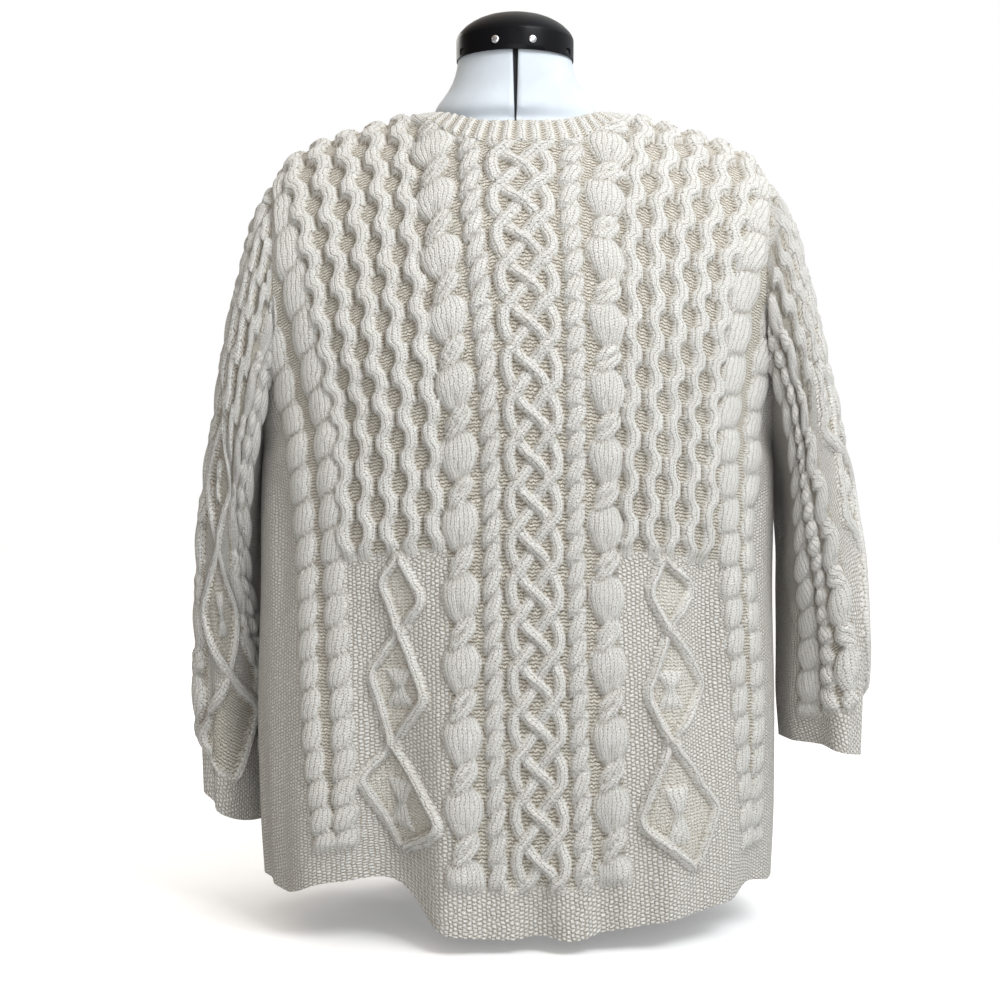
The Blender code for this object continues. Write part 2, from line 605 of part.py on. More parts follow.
def sleeve_rise(kind, number, down):
    if kind == "egg":
        return 0.55 + 0.45 * float(wave(down, EGG_REPEAT))
    if kind == "rope":
        return 0.75
    if kind == "oval":
        return 0.55 + 0.4 * float(wave(down, OVAL_REPEAT))
    if kind == "comb" and down < SLEEVE_COMB_END:
        return 0.85 if number % 2 else 0.12
    return 0.0


def diamond_rise(place, down):
    """The sleeve's diamonds: two cords that part and cross again."""
    if down < SLEEVE_COMB_END or abs(place) > 0.04:
        return 0.0
    swing = SLEEVE_DIAMOND_WIDTH * abs(math.sin(math.pi * (down - SLEEVE_COMB_END) / SLEEVE_DIAMOND_REPEAT))
    return 0.75 if abs(abs(place) - swing) < 0.0048 else 0.0


def ring_value(rings, name, down):
    return float(smooth(down, column(rings, RING_COLUMNS, "down"), column(rings, RING_COLUMNS, name)))


def lay_sleeve(rings, folds, side, loop):
    """Ground points and rise of a sleeve, and the order in which it takes the armhole's points."""
    lines = sleeve_lines()
    order = (np.arange(SLEEVE_COLUMNS) - SLEEVE_COLUMNS // 2) % SLEEVE_COLUMNS
    own = loop_shares(loop)[0][order]
    own[: SLEEVE_COLUMNS // 2] -= 1
    ground = np.zeros((SLEEVE_ROWS + 1, SLEEVE_COLUMNS, 3))
    rise = np.zeros((SLEEVE_ROWS + 1, SLEEVE_COLUMNS))
    dent = np.zeros((SLEEVE_ROWS + 1, SLEEVE_COLUMNS))
    first = ring_loop(rings, side, 0.0)
    for i in range(SLEEVE_ROWS + 1):
        down = i / SLEEVE_ROWS
        family = ring_loop(rings, side, down)
        _, girth = loop_shares(family)
        places = sleeve_places(lines, girth)
        pattern = (places + ring_value(rings, "turned", down)) / girth
        mix = float(ramp(down, 0, 0.32))
        shares = own * (1 - mix) + pattern * mix
        fit = read_loop(loop, shares) - read_loop(first, shares)
        ground[i] = read_loop(family, shares) + fit * (1 - float(ramp(down, 0, 0.36)))
        for fold in folds:
            value = dict(zip(SLEEVE_FOLD_COLUMNS, fold))
            near = np.clip(np.abs((shares - value["at"] + 0.5) % 1 - 0.5) / value["width"], 0, 1)
            grown = float(ramp(down, value["start"], value["full"]))
            dent[i] += value["depth"] * (1 - near * near) ** 2 * grown
        along = down * SLEEVE_LENGTH
        for j, (_, kind, number) in enumerate(lines):
            rise[i, j] = sleeve_rise(kind, number, along)
            if kind == "comb":
                rise[i, j] = max(rise[i, j], diamond_rise(places[j], along))
    rows = np.arange(SLEEVE_ROWS + 1)
    fade = ramp(rows, 0, 2.0) * (1 - ramp(rows, SLEEVE_ROWS - 2.2, SLEEVE_ROWS - 1.2))
    ground = ground + sleeve_normals(ground, side) * dent[..., None]
    return ground, rise * fade[:, None], order


def square_to(vectors, along):
    return unit(vectors - along * np.sum(vectors * along, axis=-1, keepdims=True))


def seam_normals(loop, panel_normals, ground, order, side):
    """Along the armhole seam: the panel's normals, the sleeve's, and the way across to the sleeve.

    Where the seam is a ridge both take the normal between them. Where it is a valley each keeps
    its own, so that the two walls part on the inside.
    """
    along = unit(np.roll(loop, -1, axis=0) - np.roll(loop, 1, axis=0))
    panel_own = square_to(panel_normals, along)
    into_panel = np.cross(along, panel_own) * side
    into_sleeve = np.zeros_like(loop)
    into_sleeve[order] = ground[2] - ground[0]
    into_sleeve = square_to(into_sleeve, along)
    sleeve_own = np.cross(along, into_sleeve) * side
    across = square_to(into_sleeve - into_panel + np.array([0.1 * side, 0.0, 0.0]), along)
    shared = np.cross(along, across) * side
    valley = ramp(np.sum((into_sleeve + into_panel) * shared, axis=-1, keepdims=True), 0.0, 0.3)
    panel_side = unit(shared * (1 - valley) + panel_own * valley)
    sleeve_side = unit(shared * (1 - valley) + sleeve_own * valley)
    return panel_side, sleeve_side, across


def build_sleeve(name, laid, seam, side, finish):
    ground, rise, order = laid
    normals = sleeve_normals(ground, side)
    normals[0] = seam[1][order]
    normals[1] = unit(normals[1] + 0.4 * normals[0])
    ground = ground.copy()
    ground[0] += seam[2][order] * SEAM_GAP * 1.4
    outer = ground + normals * rise[..., None] * CABLE_RISE
    inner = (ground - normals * WALL)[::2, ::2]
    return wall(name, outer, inner, True, finish)


def sleeve_normals(ground, side):
    down = np.gradient(ground, axis=0)
    across = np.roll(ground, -1, axis=1) - np.roll(ground, 1, axis=1)
    return unit(np.cross(down, across)) * -side


# ---------------------------------------------------------------- neckband
def band_side(panel, laid):
    """Half of the band: its points at the seam, the middle and the free edge, outside and inside."""
    numbers = [j for j, line in enumerate(panel_columns()) if abs(line[0]) <= NECK_CORNER + 1e-6]
    across = np.array([panel_columns()[j][0] for j in numbers]) * BAND_CORNER / NECK_CORNER
    seam, seam_normal = laid[0][0, numbers], laid[1][0, numbers]
    free = panel.read(panel.points, across, panel.top_share(across, 1))
    free_normal = unit(panel.read(panel.normals, across, panel.top_share(across, 1)))
    away = unit(free - seam) * BAND_GAP
    inside = seam - seam_normal * WALL
    inside[1:-1:2] = (inside[:-2:2] + inside[2::2]) / 2
    outer = np.array([seam + away, (seam + free) / 2, free])
    normals = np.array([seam_normal, unit(seam_normal + free_normal), free_normal])
    inner = np.array([inside + away, free - free_normal * WALL])
    return outer, normals, inner


def build_band(back, back_laid, front, front_laid, finish):
    """Both halves joined at the shoulders, with ribs that run from the seam to the free edge."""
    loops = []
    for one, other in zip(band_side(back, back_laid), band_side(front, front_laid)):
        loop = np.concatenate([one[:, :-1], other[:, ::-1][:, :-1]], axis=1)
        for at in (0, one.shape[1] - 1):
            loop[:, at, 1] = 0
        loops.append(loop)
    outer_loop, normal_loop, inner_loop = loops
    count = outer_loop.shape[1]
    outer, inner = [], []
    for j in range(count):
        k = (j + 1) % count
        steps = 2 * max(1, round(float(np.linalg.norm(outer_loop[0, k] - outer_loop[0, j])) / BAND_RIB))
        for step in range(steps):
            part = step / steps
            ground = outer_loop[:, j] * (1 - part) + outer_loop[:, k] * part
            normal = unit(normal_loop[:, j] * (1 - part) + normal_loop[:, k] * part)
            height = BAND_RISE * np.array([0.0, 1.0, 0.8]) * (step % 2)
            outer.append(ground + normal * height[:, None])
            if step % 2 == 0:
                inner.append(inner_loop[:, j] * (1 - part) + inner_loop[:, k] * part)
    outer = np.array(outer).transpose(1, 0, 2)
    inner = np.array(inner).transpose(1, 0, 2)
    return wall("neckband", outer, inner, True, finish)


# ---------------------------------------------------------------- dress form
def shoulder_half_width(z):
    """Half width of the form where its shoulder lies just under the sweater's shoulder line."""
    reach = np.linspace(0.2, 1, 400)
    first = dict(zip(ROW_COLUMNS, BACK_ROWS[0]))
    soft = (np.sqrt(reach**2 + 0.09) - 0.3) / (math.sqrt(1.09) - 0.3)
    drop = (1 - first["tip"]) * soft + first["tip"] * reach**16
    height = first["mid_z"] - (first["mid_z"] - first["edge_z"]) * drop
    slope = np.gradient(height, reach * first["edge_x"])
    height = height - (WALL + FORM_CLEARANCE) * np.sqrt(1 + slope**2)
    return float(np.interp(-z, -height, reach * first["edge_x"])) - first["shift"]


def settle(points, panels):
    """Draws points of the form in until they are clear of the sweater above them."""
    grids = np.concatenate([panel.points.reshape(-1, 3) for panel in panels])
    normals = np.concatenate([panel.normals.reshape(-1, 3) for panel in panels])
    settled = []
    for point in points:
        spot = np.array(point)
        need = WALL + (BACK_CLEARANCE if spot[1] < 0 else FRONT_CLEARANCE)
        if abs(spot[1]) < 1e-6:
            need = WALL + FORM_CLEARANCE
        for _ in range(40):
            near = int(np.argmin(np.sum((grids - spot) ** 2, axis=1)))
            if np.dot(grids[near] - spot, normals[near]) > need:
                break
            spot[:2] *= 0.99
        settled.append(tuple(spot))
    return settled


def form_ring(z, half_x, back, front, slit):
    """A ring of the form, with the slit's four points at the middle of its back."""
    points = []
    width = SLIT_BOTTOM_WIDTH + (SLIT_TOP_WIDTH - SLIT_BOTTOM_WIDTH) * max(slit, 0)
    for place, depth in ((-1.0, 0.0), (-0.8, 1.0), (0.8, 1.0), (1.0, 0.0)):
        sink = SLIT_DEPTH * depth if slit > 0 else 0.0
        points.append((place * width / 2, -back + sink, z))
    for k in range(1, FORM_SIDES):
        angle = -math.pi / 2 + 2 * math.pi * k / FORM_SIDES
        depth = front if math.sin(angle) > 0 else back
        points.append((half_x * math.cos(angle), depth * math.sin(angle), z))
    return points


def build_form(panels, cloth, cap, steel, base):
    rings = []
    for z, half_x, back, front in FORM_RINGS:
        rings.append(form_ring(z, half_x, back, front, 0.0))
    for z, back, front in SHOULDER_DEPTHS:
        slit = (z - SLIT_BOTTOM) / (CAP_BOTTOM - SLIT_BOTTOM)
        rings.append(settle(form_ring(z, shoulder_half_width(z), back, front, slit), panels))
    for z, half_x, back, front in NECK_RINGS:
        slit = min((z - SLIT_BOTTOM) / (CAP_BOTTOM - SLIT_BOTTOM), 1.0)
        rings.append(form_ring(z, half_x, back, front, slit))
    lathe("form_torso", rings, cloth)
    build_cap(cap)
    for name, x in SCREW_PLACES:
        build_screw(name, x, steel)
    top = FORM_RINGS[0][0] - TOUCH_GAP
    add_disc("form_post", POST_RADIUS, BASE_THICKNESS + TOUCH_GAP, top, 24, 0.0008, steel)
    add_disc("form_base", BASE_RADIUS, 0.0, BASE_THICKNESS, 48, 0.0025, base)


def add_disc(name, radius, bottom, top, sides, bevel, finish):
    inside = radius - bevel
    profile = ((inside, bottom), (radius, bottom + bevel), (radius, top - bevel), (inside, top))
    rings = []
    for r, z in profile:
        rings.append([(r * math.cos(2 * math.pi * k / sides), r * math.sin(2 * math.pi * k / sides), z)
                      for k in range(sides)])
    return lathe(name, rings, finish)


def cap_rings(profile):
    """Rings of the cap's oval through (share, height) pairs."""
    angles = [2 * math.pi * k / CAP_SIDES for k in range(CAP_SIDES)]
    return [[(CAP_HALF_X * share * math.cos(angle), CAP_HALF_Y * share * math.sin(angle), CAP_BOTTOM + up)
             for angle in angles] for share, up in profile]


def build_cap(finish):
    """The neck cap: a band round the top of the neck under a low dome, hollow above the neck."""
    rings = cap_rings(CAP_OUTER) + cap_rings(CAP_INNER)
    points = [point for ring in rings for point in ring]
    dome, ceiling, last = len(CAP_OUTER) - 1, len(CAP_OUTER), len(rings) - 1
    bands = [(i, i + 1) for i in range(last) if i != dome] + [(last, 0)]
    faces = []
    for lower, upper in bands:
        for j in range(CAP_SIDES):
            k = (j + 1) % CAP_SIDES
            low, high = lower * CAP_SIDES, upper * CAP_SIDES
            faces.append((low + j, low + k, high + k, high + j))
    for ring in (dome, ceiling):
        faces.append(tuple(ring * CAP_SIDES + j for j in range(CAP_SIDES)))
    return add_object("neck_cap", points, faces, finish, 35)


def build_screw(name, x, finish):
    """A small domed screw head on the back of the cap's band."""
    y = -CAP_HALF_Y * math.sqrt(1 - (x / CAP_HALF_X) ** 2)
    out = unit(np.array([x / CAP_HALF_X**2, y / CAP_HALF_Y**2, 0.0]))
    side = np.array([-out[1], out[0], 0.0])
    rings = []
    for radius, height in ((1.0, 0.0), (1.0, 0.45), (0.75, 0.85), (0.35, 1.0)):
        ring = []
        for k in range(16):
            angle = 2 * math.pi * k / 16
            spot = np.array([x, y, SCREW_Z]) + out * (0.0004 + SCREW_HEAD * height)
            spot = spot + side * SCREW_RADIUS * radius * math.cos(angle)
            spot[2] += SCREW_RADIUS * radius * math.sin(angle)
            ring.append(tuple(spot))
        rings.append(ring)
    return lathe(name, rings, finish)


def main():
    for thing in list(bpy.data.objects):
        bpy.data.objects.remove(thing)
    wool = material("wool", WOOL_COLOUR, 0.9)
    jersey = material("form_cloth", FORM_COLOUR, 0.7)
    black = material("cap_plastic", CAP_COLOUR, 0.25)
    steel = material("steel", STEEL_COLOUR, 0.25, 1.0)
    painted = material("painted_steel", BASE_COLOUR, 0.5)
    back = Panel(BACK_ROWS, BACK_FOLDS, -1, BACK_NECK)
    front = Panel(FRONT_ROWS, FRONT_FOLDS, 1, FRONT_NECK)
    back_laid = lay_panel(back)
    front_laid = lay_panel(front)
    for name, rings, folds, side in (
        ("sleeve_right", RIGHT_RINGS, RIGHT_SLEEVE_FOLDS, 1),
        ("sleeve_left", LEFT_RINGS, LEFT_SLEEVE_FOLDS, -1),
    ):
        edge = -1 if side > 0 else 0
        loop, loop_normals = armhole(back_laid, front_laid, edge)
        laid = lay_sleeve(rings, folds, side, loop)
        seam = seam_normals(loop, loop_normals, laid[0], laid[2], side)
        share_seam_normals(back_laid, front_laid, edge, seam[0])
        build_sleeve(name, laid, seam, side, wool)
    build_panel("back", back_laid, wool)
    build_panel("front", front_laid, wool)
    build_band(back, back_laid, front, front_laid, wool)
    build_form((back, front), jersey, black, steel, painted)


main()
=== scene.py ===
"""Aran cable knit sweater on a limbless dress form, as it looks.

Metres, +Z up. The base plate stands on the floor round the origin, and the sweater's back faces -Y.
"""

import math

import bmesh
import bpy
import mathutils
import numpy as np
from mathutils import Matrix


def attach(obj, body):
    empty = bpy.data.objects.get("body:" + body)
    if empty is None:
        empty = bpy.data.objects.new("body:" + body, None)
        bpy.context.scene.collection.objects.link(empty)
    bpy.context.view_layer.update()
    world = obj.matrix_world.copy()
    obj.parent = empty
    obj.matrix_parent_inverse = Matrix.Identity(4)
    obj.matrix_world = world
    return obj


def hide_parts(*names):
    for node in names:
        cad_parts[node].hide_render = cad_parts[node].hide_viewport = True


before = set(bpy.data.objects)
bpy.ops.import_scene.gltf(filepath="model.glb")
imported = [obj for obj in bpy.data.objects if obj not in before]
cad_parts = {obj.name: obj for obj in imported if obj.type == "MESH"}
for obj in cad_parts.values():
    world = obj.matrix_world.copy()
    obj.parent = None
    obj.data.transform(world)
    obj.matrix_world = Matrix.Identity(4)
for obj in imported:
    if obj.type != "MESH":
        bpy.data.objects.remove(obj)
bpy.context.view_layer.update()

# ---------------------------------------------------------------- base plate
# A round steel plate under the dress form, painted light grey. It is inside the sweater's hem, and
# the post is bolted to its middle.
PAINT_COLOUR = (0.70, 0.70, 0.71, 1.0)
PAINT_WORN = (0.574, 0.574, 0.5822, 1.0)


def plug(tree, value, socket):
    """Links a node's output to a socket, or gives the socket a value."""
    if isinstance(value, bpy.types.NodeSocket):
        tree.links.new(value, socket)
    else:
        socket.default_value = value


def feed(tree, sockets, **values):
    """Plugs values into the sockets of a shader or a group by their names."""
    for label, value in values.items():
        plug(tree, value, sockets[label.replace("_", " ")])


def node(tree, kind, inputs=None, **settings):
    """A shader node with its settings, and its inputs linked or given a value."""
    made = tree.nodes.new(kind)
    for name, value in settings.items():
        setattr(made, name, value)
    for name, value in (inputs or {}).items():
        plug(tree, value, made.inputs[name])
    return made


def calc(tree, operation, *values, clamp=False):
    """The output of a Math node over the values, which are sockets or numbers."""
    made = node(tree, "ShaderNodeMath", dict(enumerate(values)), operation=operation, use_clamp=clamp)
    return made.outputs[0]


def blend_colour(tree, factor, first, second):
    """One colour changing into another by a factor from 0 to 1."""
    return node(tree, "ShaderNodeMix", {0: factor, 6: first, 7: second}, data_type="RGBA").outputs[2]


def spread(tree, value, low, high, to_low=0.0, to_high=1.0):
    """The value taken from one range to another and held inside it."""
    inputs = {"Value": value, "From Min": low, "From Max": high, "To Min": to_low, "To Max": to_high}
    return node(tree, "ShaderNodeMapRange", inputs).outputs["Result"]


def noise(tree, place, scale, detail, output="Fac"):
    inputs = {"Vector": place, "Scale": scale, "Detail": detail}
    return node(tree, "ShaderNodeTexNoise", inputs).outputs[output]


def bump(tree, height, distance, strength=1.0):
    inputs = {"Height": height, "Distance": distance, "Strength": strength}
    return node(tree, "ShaderNodeBump", inputs).outputs["Normal"]


def split(tree, vector):
    return node(tree, "ShaderNodeSeparateXYZ", {0: vector}).outputs


def object_place(tree):
    return node(tree, "ShaderNodeTexCoord").outputs["Object"]


def new_group(name, inputs, outputs):
    """A shader node group with named numbers going in, each with its usual value, and coming out."""
    tree = bpy.data.node_groups.new(name, "ShaderNodeTree")
    for label, value in inputs.items():
        socket = tree.interface.new_socket(name=label, in_out="INPUT", socket_type="NodeSocketFloat")
        socket.default_value = value
    for label in outputs:
        tree.interface.new_socket(name=label, in_out="OUTPUT", socket_type="NodeSocketFloat")
    return tree, tree.nodes.new("NodeGroupInput").outputs, tree.nodes.new("NodeGroupOutput").inputs


def use_group(tree, name, **inputs):
    made = tree.nodes.new("ShaderNodeGroup")
    made.node_tree = bpy.data.node_groups[name]
    feed(tree, made.inputs, **inputs)
    return made.outputs


def new_finish(name, roughness, **sockets):
    """A material with its Principled shader, and values that are even all over it."""
    made = bpy.data.materials.new(name)
    made.use_nodes = True
    shader = made.node_tree.nodes["Principled BSDF"]
    feed(made.node_tree, shader.inputs, Roughness=roughness, **sockets)
    return made, made.node_tree, shader.inputs


def grained_finish(name, size, roughness, depth, mask="Mask", stretch=1.0, **sockets):
    """A hard finish with a fine grain, its roughness from one value to another and its relief."""
    made, tree, shader = new_finish(name, roughness[0], **sockets)
    grain = use_group(tree, "fine_grain", Size=size, Stretch=stretch)
    feed(tree, shader, Roughness=spread(tree, grain[mask], 0.0, 1.0, *roughness),
         Normal=bump(tree, grain["Height"], depth, 0.4))
    return made, tree, shader, grain


def make_fine_grain():
    """Speckle and shallow unevenness, as of paint, moulded plastic, ground steel or brushed cloth."""
    tree, given, out = new_group(
        "fine_grain", {"Size": 0.002, "Stretch": 1.0}, ("Mask", "Height", "Patches"))
    place = object_place(tree)
    parts = split(tree, place)
    drawn_z = calc(tree, "DIVIDE", parts["Z"], given["Stretch"])
    drawn = node(tree, "ShaderNodeCombineXYZ", {"X": parts["X"], "Y": parts["Y"], "Z": drawn_z}).outputs[0]
    fine = noise(tree, drawn, calc(tree, "DIVIDE", 1.0, given["Size"]), 4.0)
    feed(tree, out, Mask=spread(tree, fine, 0.3, 0.7), Height=fine,
         Patches=spread(tree, noise(tree, place, 22.0, 3.0), 0.35, 0.65))


def refinish(name, material):
    """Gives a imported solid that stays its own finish."""
    piece = bpy.data.objects[name]
    for slot in piece.material_slots:
        slot.material = material
    if not piece.material_slots:
        piece.data.materials.append(material)


make_fine_grain()
paint, tree, shader, grain = grained_finish("light_grey_paint", 0.0016, (0.42, 0.58), 0.0002)
feed(tree, shader, Base_Color=blend_colour(tree, grain["Patches"], PAINT_COLOUR, PAINT_WORN))
refinish("form_base", paint)

# ---------------------------------------------------------------- post
# A short bright steel tube between the plate and the underside of the form. It stays out of sight
# inside the sweater.
STEEL_COLOUR = (0.60, 0.60, 0.62, 1.0)

steel = grained_finish("bright_steel", 0.0009, (0.20, 0.36), 0.00008, stretch=12.0,
                       Metallic=1.0, Base_Color=STEEL_COLOUR)[0]
refinish("form_post", steel)

# ---------------------------------------------------------------- dress form
# A limbless foam torso with a short neck, covered in thin white jersey that is drawn into a slit at
# the middle of the back of the neck. The sweater hangs from its shoulders.
JERSEY_COLOUR = (0.58, 0.63, 0.68, 1.0)
JERSEY_GREY = (0.48, 0.52, 0.56, 1.0)
JERSEY_WALE = 0.0011      # width of one column of its stitches
# Near black: painted shade inside the slit and above the top of the neck, and the real black of the cap.
BLACK_AND_PAINTED_SHADE = (0.004, 0.004, 0.005, 1.0)       # inside the slit, and the black of the cap
SLIT_EDGES = (0.640, -0.030, 0.0030)           # lowest point, how far forward, half width
SLIT_LOWEST = 0.650
SLIT_OPENING = (0.655, 0.722, 0.0005, 0.0024)  # its half width grows from one height to the other
# The jersey is painted near black above this height as painted shade, seen through the cap's slots.
NECK_TOP_SHADE = (0.7225, 0.7230)                    # dark above, behind the cap's slots


def copy_solid(name):
    """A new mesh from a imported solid, with its flat triangle pairs joined into quads."""
    shape = bmesh.new()
    shape.from_mesh(bpy.data.objects[name].data)
    bmesh.ops.remove_doubles(shape, verts=shape.verts, dist=1e-6)
    bmesh.ops.join_triangles(shape, faces=shape.faces, angle_face_threshold=0.7, angle_shape_threshold=0.9)
    return shape


def place_mesh(mesh, shape, name, material):
    """Turns a worked shape into a smooth-shaded object of the scene."""
    shape.to_mesh(mesh)
    shape.free()
    mesh.shade_smooth()
    mesh.materials.append(material)
    made = bpy.data.objects.new(name, mesh)
    bpy.context.scene.collection.objects.link(made)
    return made


def finish_shape(shape, name, material):
    return place_mesh(bpy.data.meshes.new(name), shape, name, material)


def apply_modifiers(piece):
    graph = bpy.context.evaluated_depsgraph_get()
    mesh = bpy.data.meshes.new_from_object(piece.evaluated_get(graph))
    piece.modifiers.clear()
    piece.data = mesh


def crease_slit(shape):
    """Keeps the slit's edges and the form's underside crisp when the rest is rounded."""
    creases = shape.edges.layers.float.new("crease_edge")
    lowest, front, half = SLIT_EDGES
    underside = min(vert.co.z for vert in shape.verts)
    for edge in shape.edges:
        ends = [vert.co for vert in edge.verts]
        steep = abs(ends[0].z - ends[1].z) > 1e-5
        if steep and all(abs(end.x) < half and end.y < front and end.z > lowest for end in ends):
            edge[creases] = 0.8
        if all(end.z < underside + 1e-5 for end in ends):
            edge[creases] = 0.6


jersey, tree, shader = new_finish("white_jersey", 0.75, Sheen_Weight=0.15, Sheen_Roughness=0.5)
parts = split(tree, object_place(tree))
across = calc(tree, "SINE", calc(tree, "DIVIDE", parts["X"], JERSEY_WALE / math.tau))
along = calc(tree, "SINE", calc(tree, "DIVIDE", parts["Z"], JERSEY_WALE * 0.8 / math.tau))
grain = use_group(tree, "fine_grain", Size=0.0012)
height = calc(tree, "MULTIPLY_ADD", grain["Height"], 1.5, calc(tree, "MULTIPLY", across, along))
colour = blend_colour(tree, grain["Patches"], JERSEY_COLOUR, JERSEY_GREY)
# Painted shade: the jersey turns near black inside the slit at the back of the neck, and above the top of
# the neck where the cap's slots show it.
gap = spread(tree, parts["Z"], *SLIT_OPENING)
beside = calc(tree, "SUBTRACT", calc(tree, "ABSOLUTE", parts["X"]), gap)
slit = spread(tree, beside, -0.0002, 0.0002, 1.0, 0.0)
slit = calc(tree, "MULTIPLY", slit, calc(tree, "LESS_THAN", parts["Y"], 0.0))
slit = calc(tree, "MULTIPLY", slit, calc(tree, "GREATER_THAN", parts["Z"], SLIT_LOWEST))
slit = calc(tree, "MAXIMUM", slit, spread(tree, parts["Z"], *NECK_TOP_SHADE))
feed(tree, shader, Base_Color=blend_colour(tree, slit, colour, BLACK_AND_PAINTED_SHADE),
     Normal=bump(tree, height, 0.00012, 0.5))

shape = copy_solid("form_torso")
crease_slit(shape)
torso = finish_shape(shape, "torso_cover", jersey)
rounding = torso.modifiers.new("rounding", "SUBSURF")
rounding.levels = rounding.render_levels = 2
apply_modifiers(torso)
torso.data.shade_smooth()
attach(torso, "root")
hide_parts("form_torso")

# ---------------------------------------------------------------- neck cap
# A black moulded plastic cap over the top of the neck: a plain band under a low dome, hollow below.
# An oval slot near each side of the back takes its clip.
CAP_HALF_X = 0.0497
CAP_HALF_Y = 0.0468
CAP_SIDES = 128
# From the middle of its inside, down the band and up over the dome: share of the half widths, height.
CAP_PROFILE = (
    (0.050, 0.7440), (0.700, 0.7430), (0.976, 0.7385), (0.980, 0.7300), (0.988, 0.7217), (0.995, 0.7215),
    (1.000, 0.7219), (1.001, 0.7260), (1.002, 0.7340), (1.002, 0.7388), (1.001, 0.7396), (0.999, 0.7402),
    (0.995, 0.7408), (0.988, 0.7417), (0.976, 0.7430), (0.953, 0.7448), (0.910, 0.7472), (0.850, 0.7501),
    (0.770, 0.7529), (0.675, 0.7556), (0.560, 0.7580), (0.435, 0.7598), (0.300, 0.7611), (0.150, 0.7617),
    (0.050, 0.7618),
)
CLIP_SLOT = (0.0456, 0.7262, 0.00384, 0.0027)  # x to either side, z, half width, half height
SLOT_SIDES = 24
SLOT_CUT = (-0.006, 0.002)                     # from outside the band to inside its wall


def around(sides):
    """Cosines and sines of even steps round a circle."""
    angle = math.tau * np.arange(sides) / sides
    return np.cos(angle), np.sin(angle)


def cap_back(x):
    """How far back the cap's band is at x."""
    return -CAP_HALF_Y * math.sqrt(1 - (x / CAP_HALF_X) ** 2)


def loft(rings):
    """A closed bmesh skin through rings of points."""
    shape = bmesh.new()
    rows = [[shape.verts.new(point) for point in ring] for ring in rings]
    count = len(rows[0])
    for lower, upper in zip(rows, rows[1:]):
        for k in range(count):
            shape.faces.new((lower[k], lower[(k + 1) % count], upper[(k + 1) % count], upper[k]))
    shape.faces.new(rows[0][::-1])
    shape.faces.new(rows[-1])
    bmesh.ops.recalc_face_normals(shape, faces=shape.faces)
    return shape


plastic = grained_finish("black_plastic", 0.0007, (0.24, 0.38), 0.00005, "Patches",
                         Base_Color=BLACK_AND_PAINTED_SHADE, Specular_IOR_Level=0.09)[0]
cosine, sine = around(CAP_SIDES)
cap = finish_shape(loft([
    np.stack([CAP_HALF_X * share * cosine, CAP_HALF_Y * share * sine, np.full(CAP_SIDES, height)], axis=-1)
    for share, height in CAP_PROFILE]), "cap_shell", plastic)
slot_x, slot_z, slot_half, slot_tall = CLIP_SLOT
cosine, sine = around(SLOT_SIDES)
cutters = []
for side in (-1, 1):
    ring = np.stack([side * slot_x + slot_half * cosine, np.full(SLOT_SIDES, cap_back(slot_x)),
                     slot_z + slot_tall * sine], axis=-1)
    cutters.append(finish_shape(loft([ring + [0, cut, 0] for cut in SLOT_CUT]), "slot_cutter", plastic))
    cut = cap.modifiers.new("slot", "BOOLEAN")
    cut.object = cutters[-1]
    cut.operation = "DIFFERENCE"
apply_modifiers(cap)
for cutter in cutters:
    bpy.data.objects.remove(cutter)
cap.data.set_sharp_from_angle(angle=math.radians(30))
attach(cap, "root")
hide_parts("neck_cap")

# ---------------------------------------------------------------- cap screws
# Two small domed steel screws with a crossed recess, driven through the back of the cap's band into
# the form's neck.
SCREW_RADIUS = 0.0033
SCREW_HEIGHT = 0.0016
SCREW_STAND = 0.0004
SCREW_Z = 0.7300
SCREW_SIDES = 48
SCREW_SHARES = (1.0, 1.0, 0.98, 0.92, 0.84, 0.74, 0.64, 0.54, 0.44, 0.34, 0.24, 0.16, 0.10, 0.05)
RECESS_HALF = 0.00045
RECESS_REACH = 0.0019
RECESS_DEPTH = 0.0009
SCREW_PLACES = (("cap_screw_left", -0.0165), ("cap_screw_right", 0.0140))


def unit(vectors):
    return vectors / np.maximum(np.linalg.norm(vectors, axis=-1, keepdims=True), 1e-9)


def screw_head(x):
    """A domed head on the band at x, with its recess sunk into a fine grid of points."""
    middle = np.array([x, cap_back(x), SCREW_Z])
    out = unit(np.array([x / CAP_HALF_X**2, middle[1] / CAP_HALF_Y**2, 0.0]))
    side = np.array([-out[1], out[0], 0.0])
    cosine, sine = around(SCREW_SIDES)
    rings = []
    for share in SCREW_SHARES:
        height = SCREW_HEIGHT * (0.35 + 0.65 * math.sqrt(1 - share**2 * 0.995)) if rings else 0.0
        across, up = SCREW_RADIUS * share * cosine, SCREW_RADIUS * share * sine
        arms = np.minimum(np.abs(across), np.abs(up)) < RECESS_HALF
        sunk = np.where(arms & (SCREW_RADIUS * share < RECESS_REACH), RECESS_DEPTH, 0.0)
        level = SCREW_STAND + height - sunk
        rings.append(middle + out * level[:, None] + side * across[:, None] + [0, 0, 1] * up[:, None])
    return loft(rings)


for name, x in SCREW_PLACES:
    screw = finish_shape(screw_head(x), name + "_head", steel)
    screw.data.set_sharp_from_angle(angle=math.radians(40))
    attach(screw, "root")
    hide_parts(name)

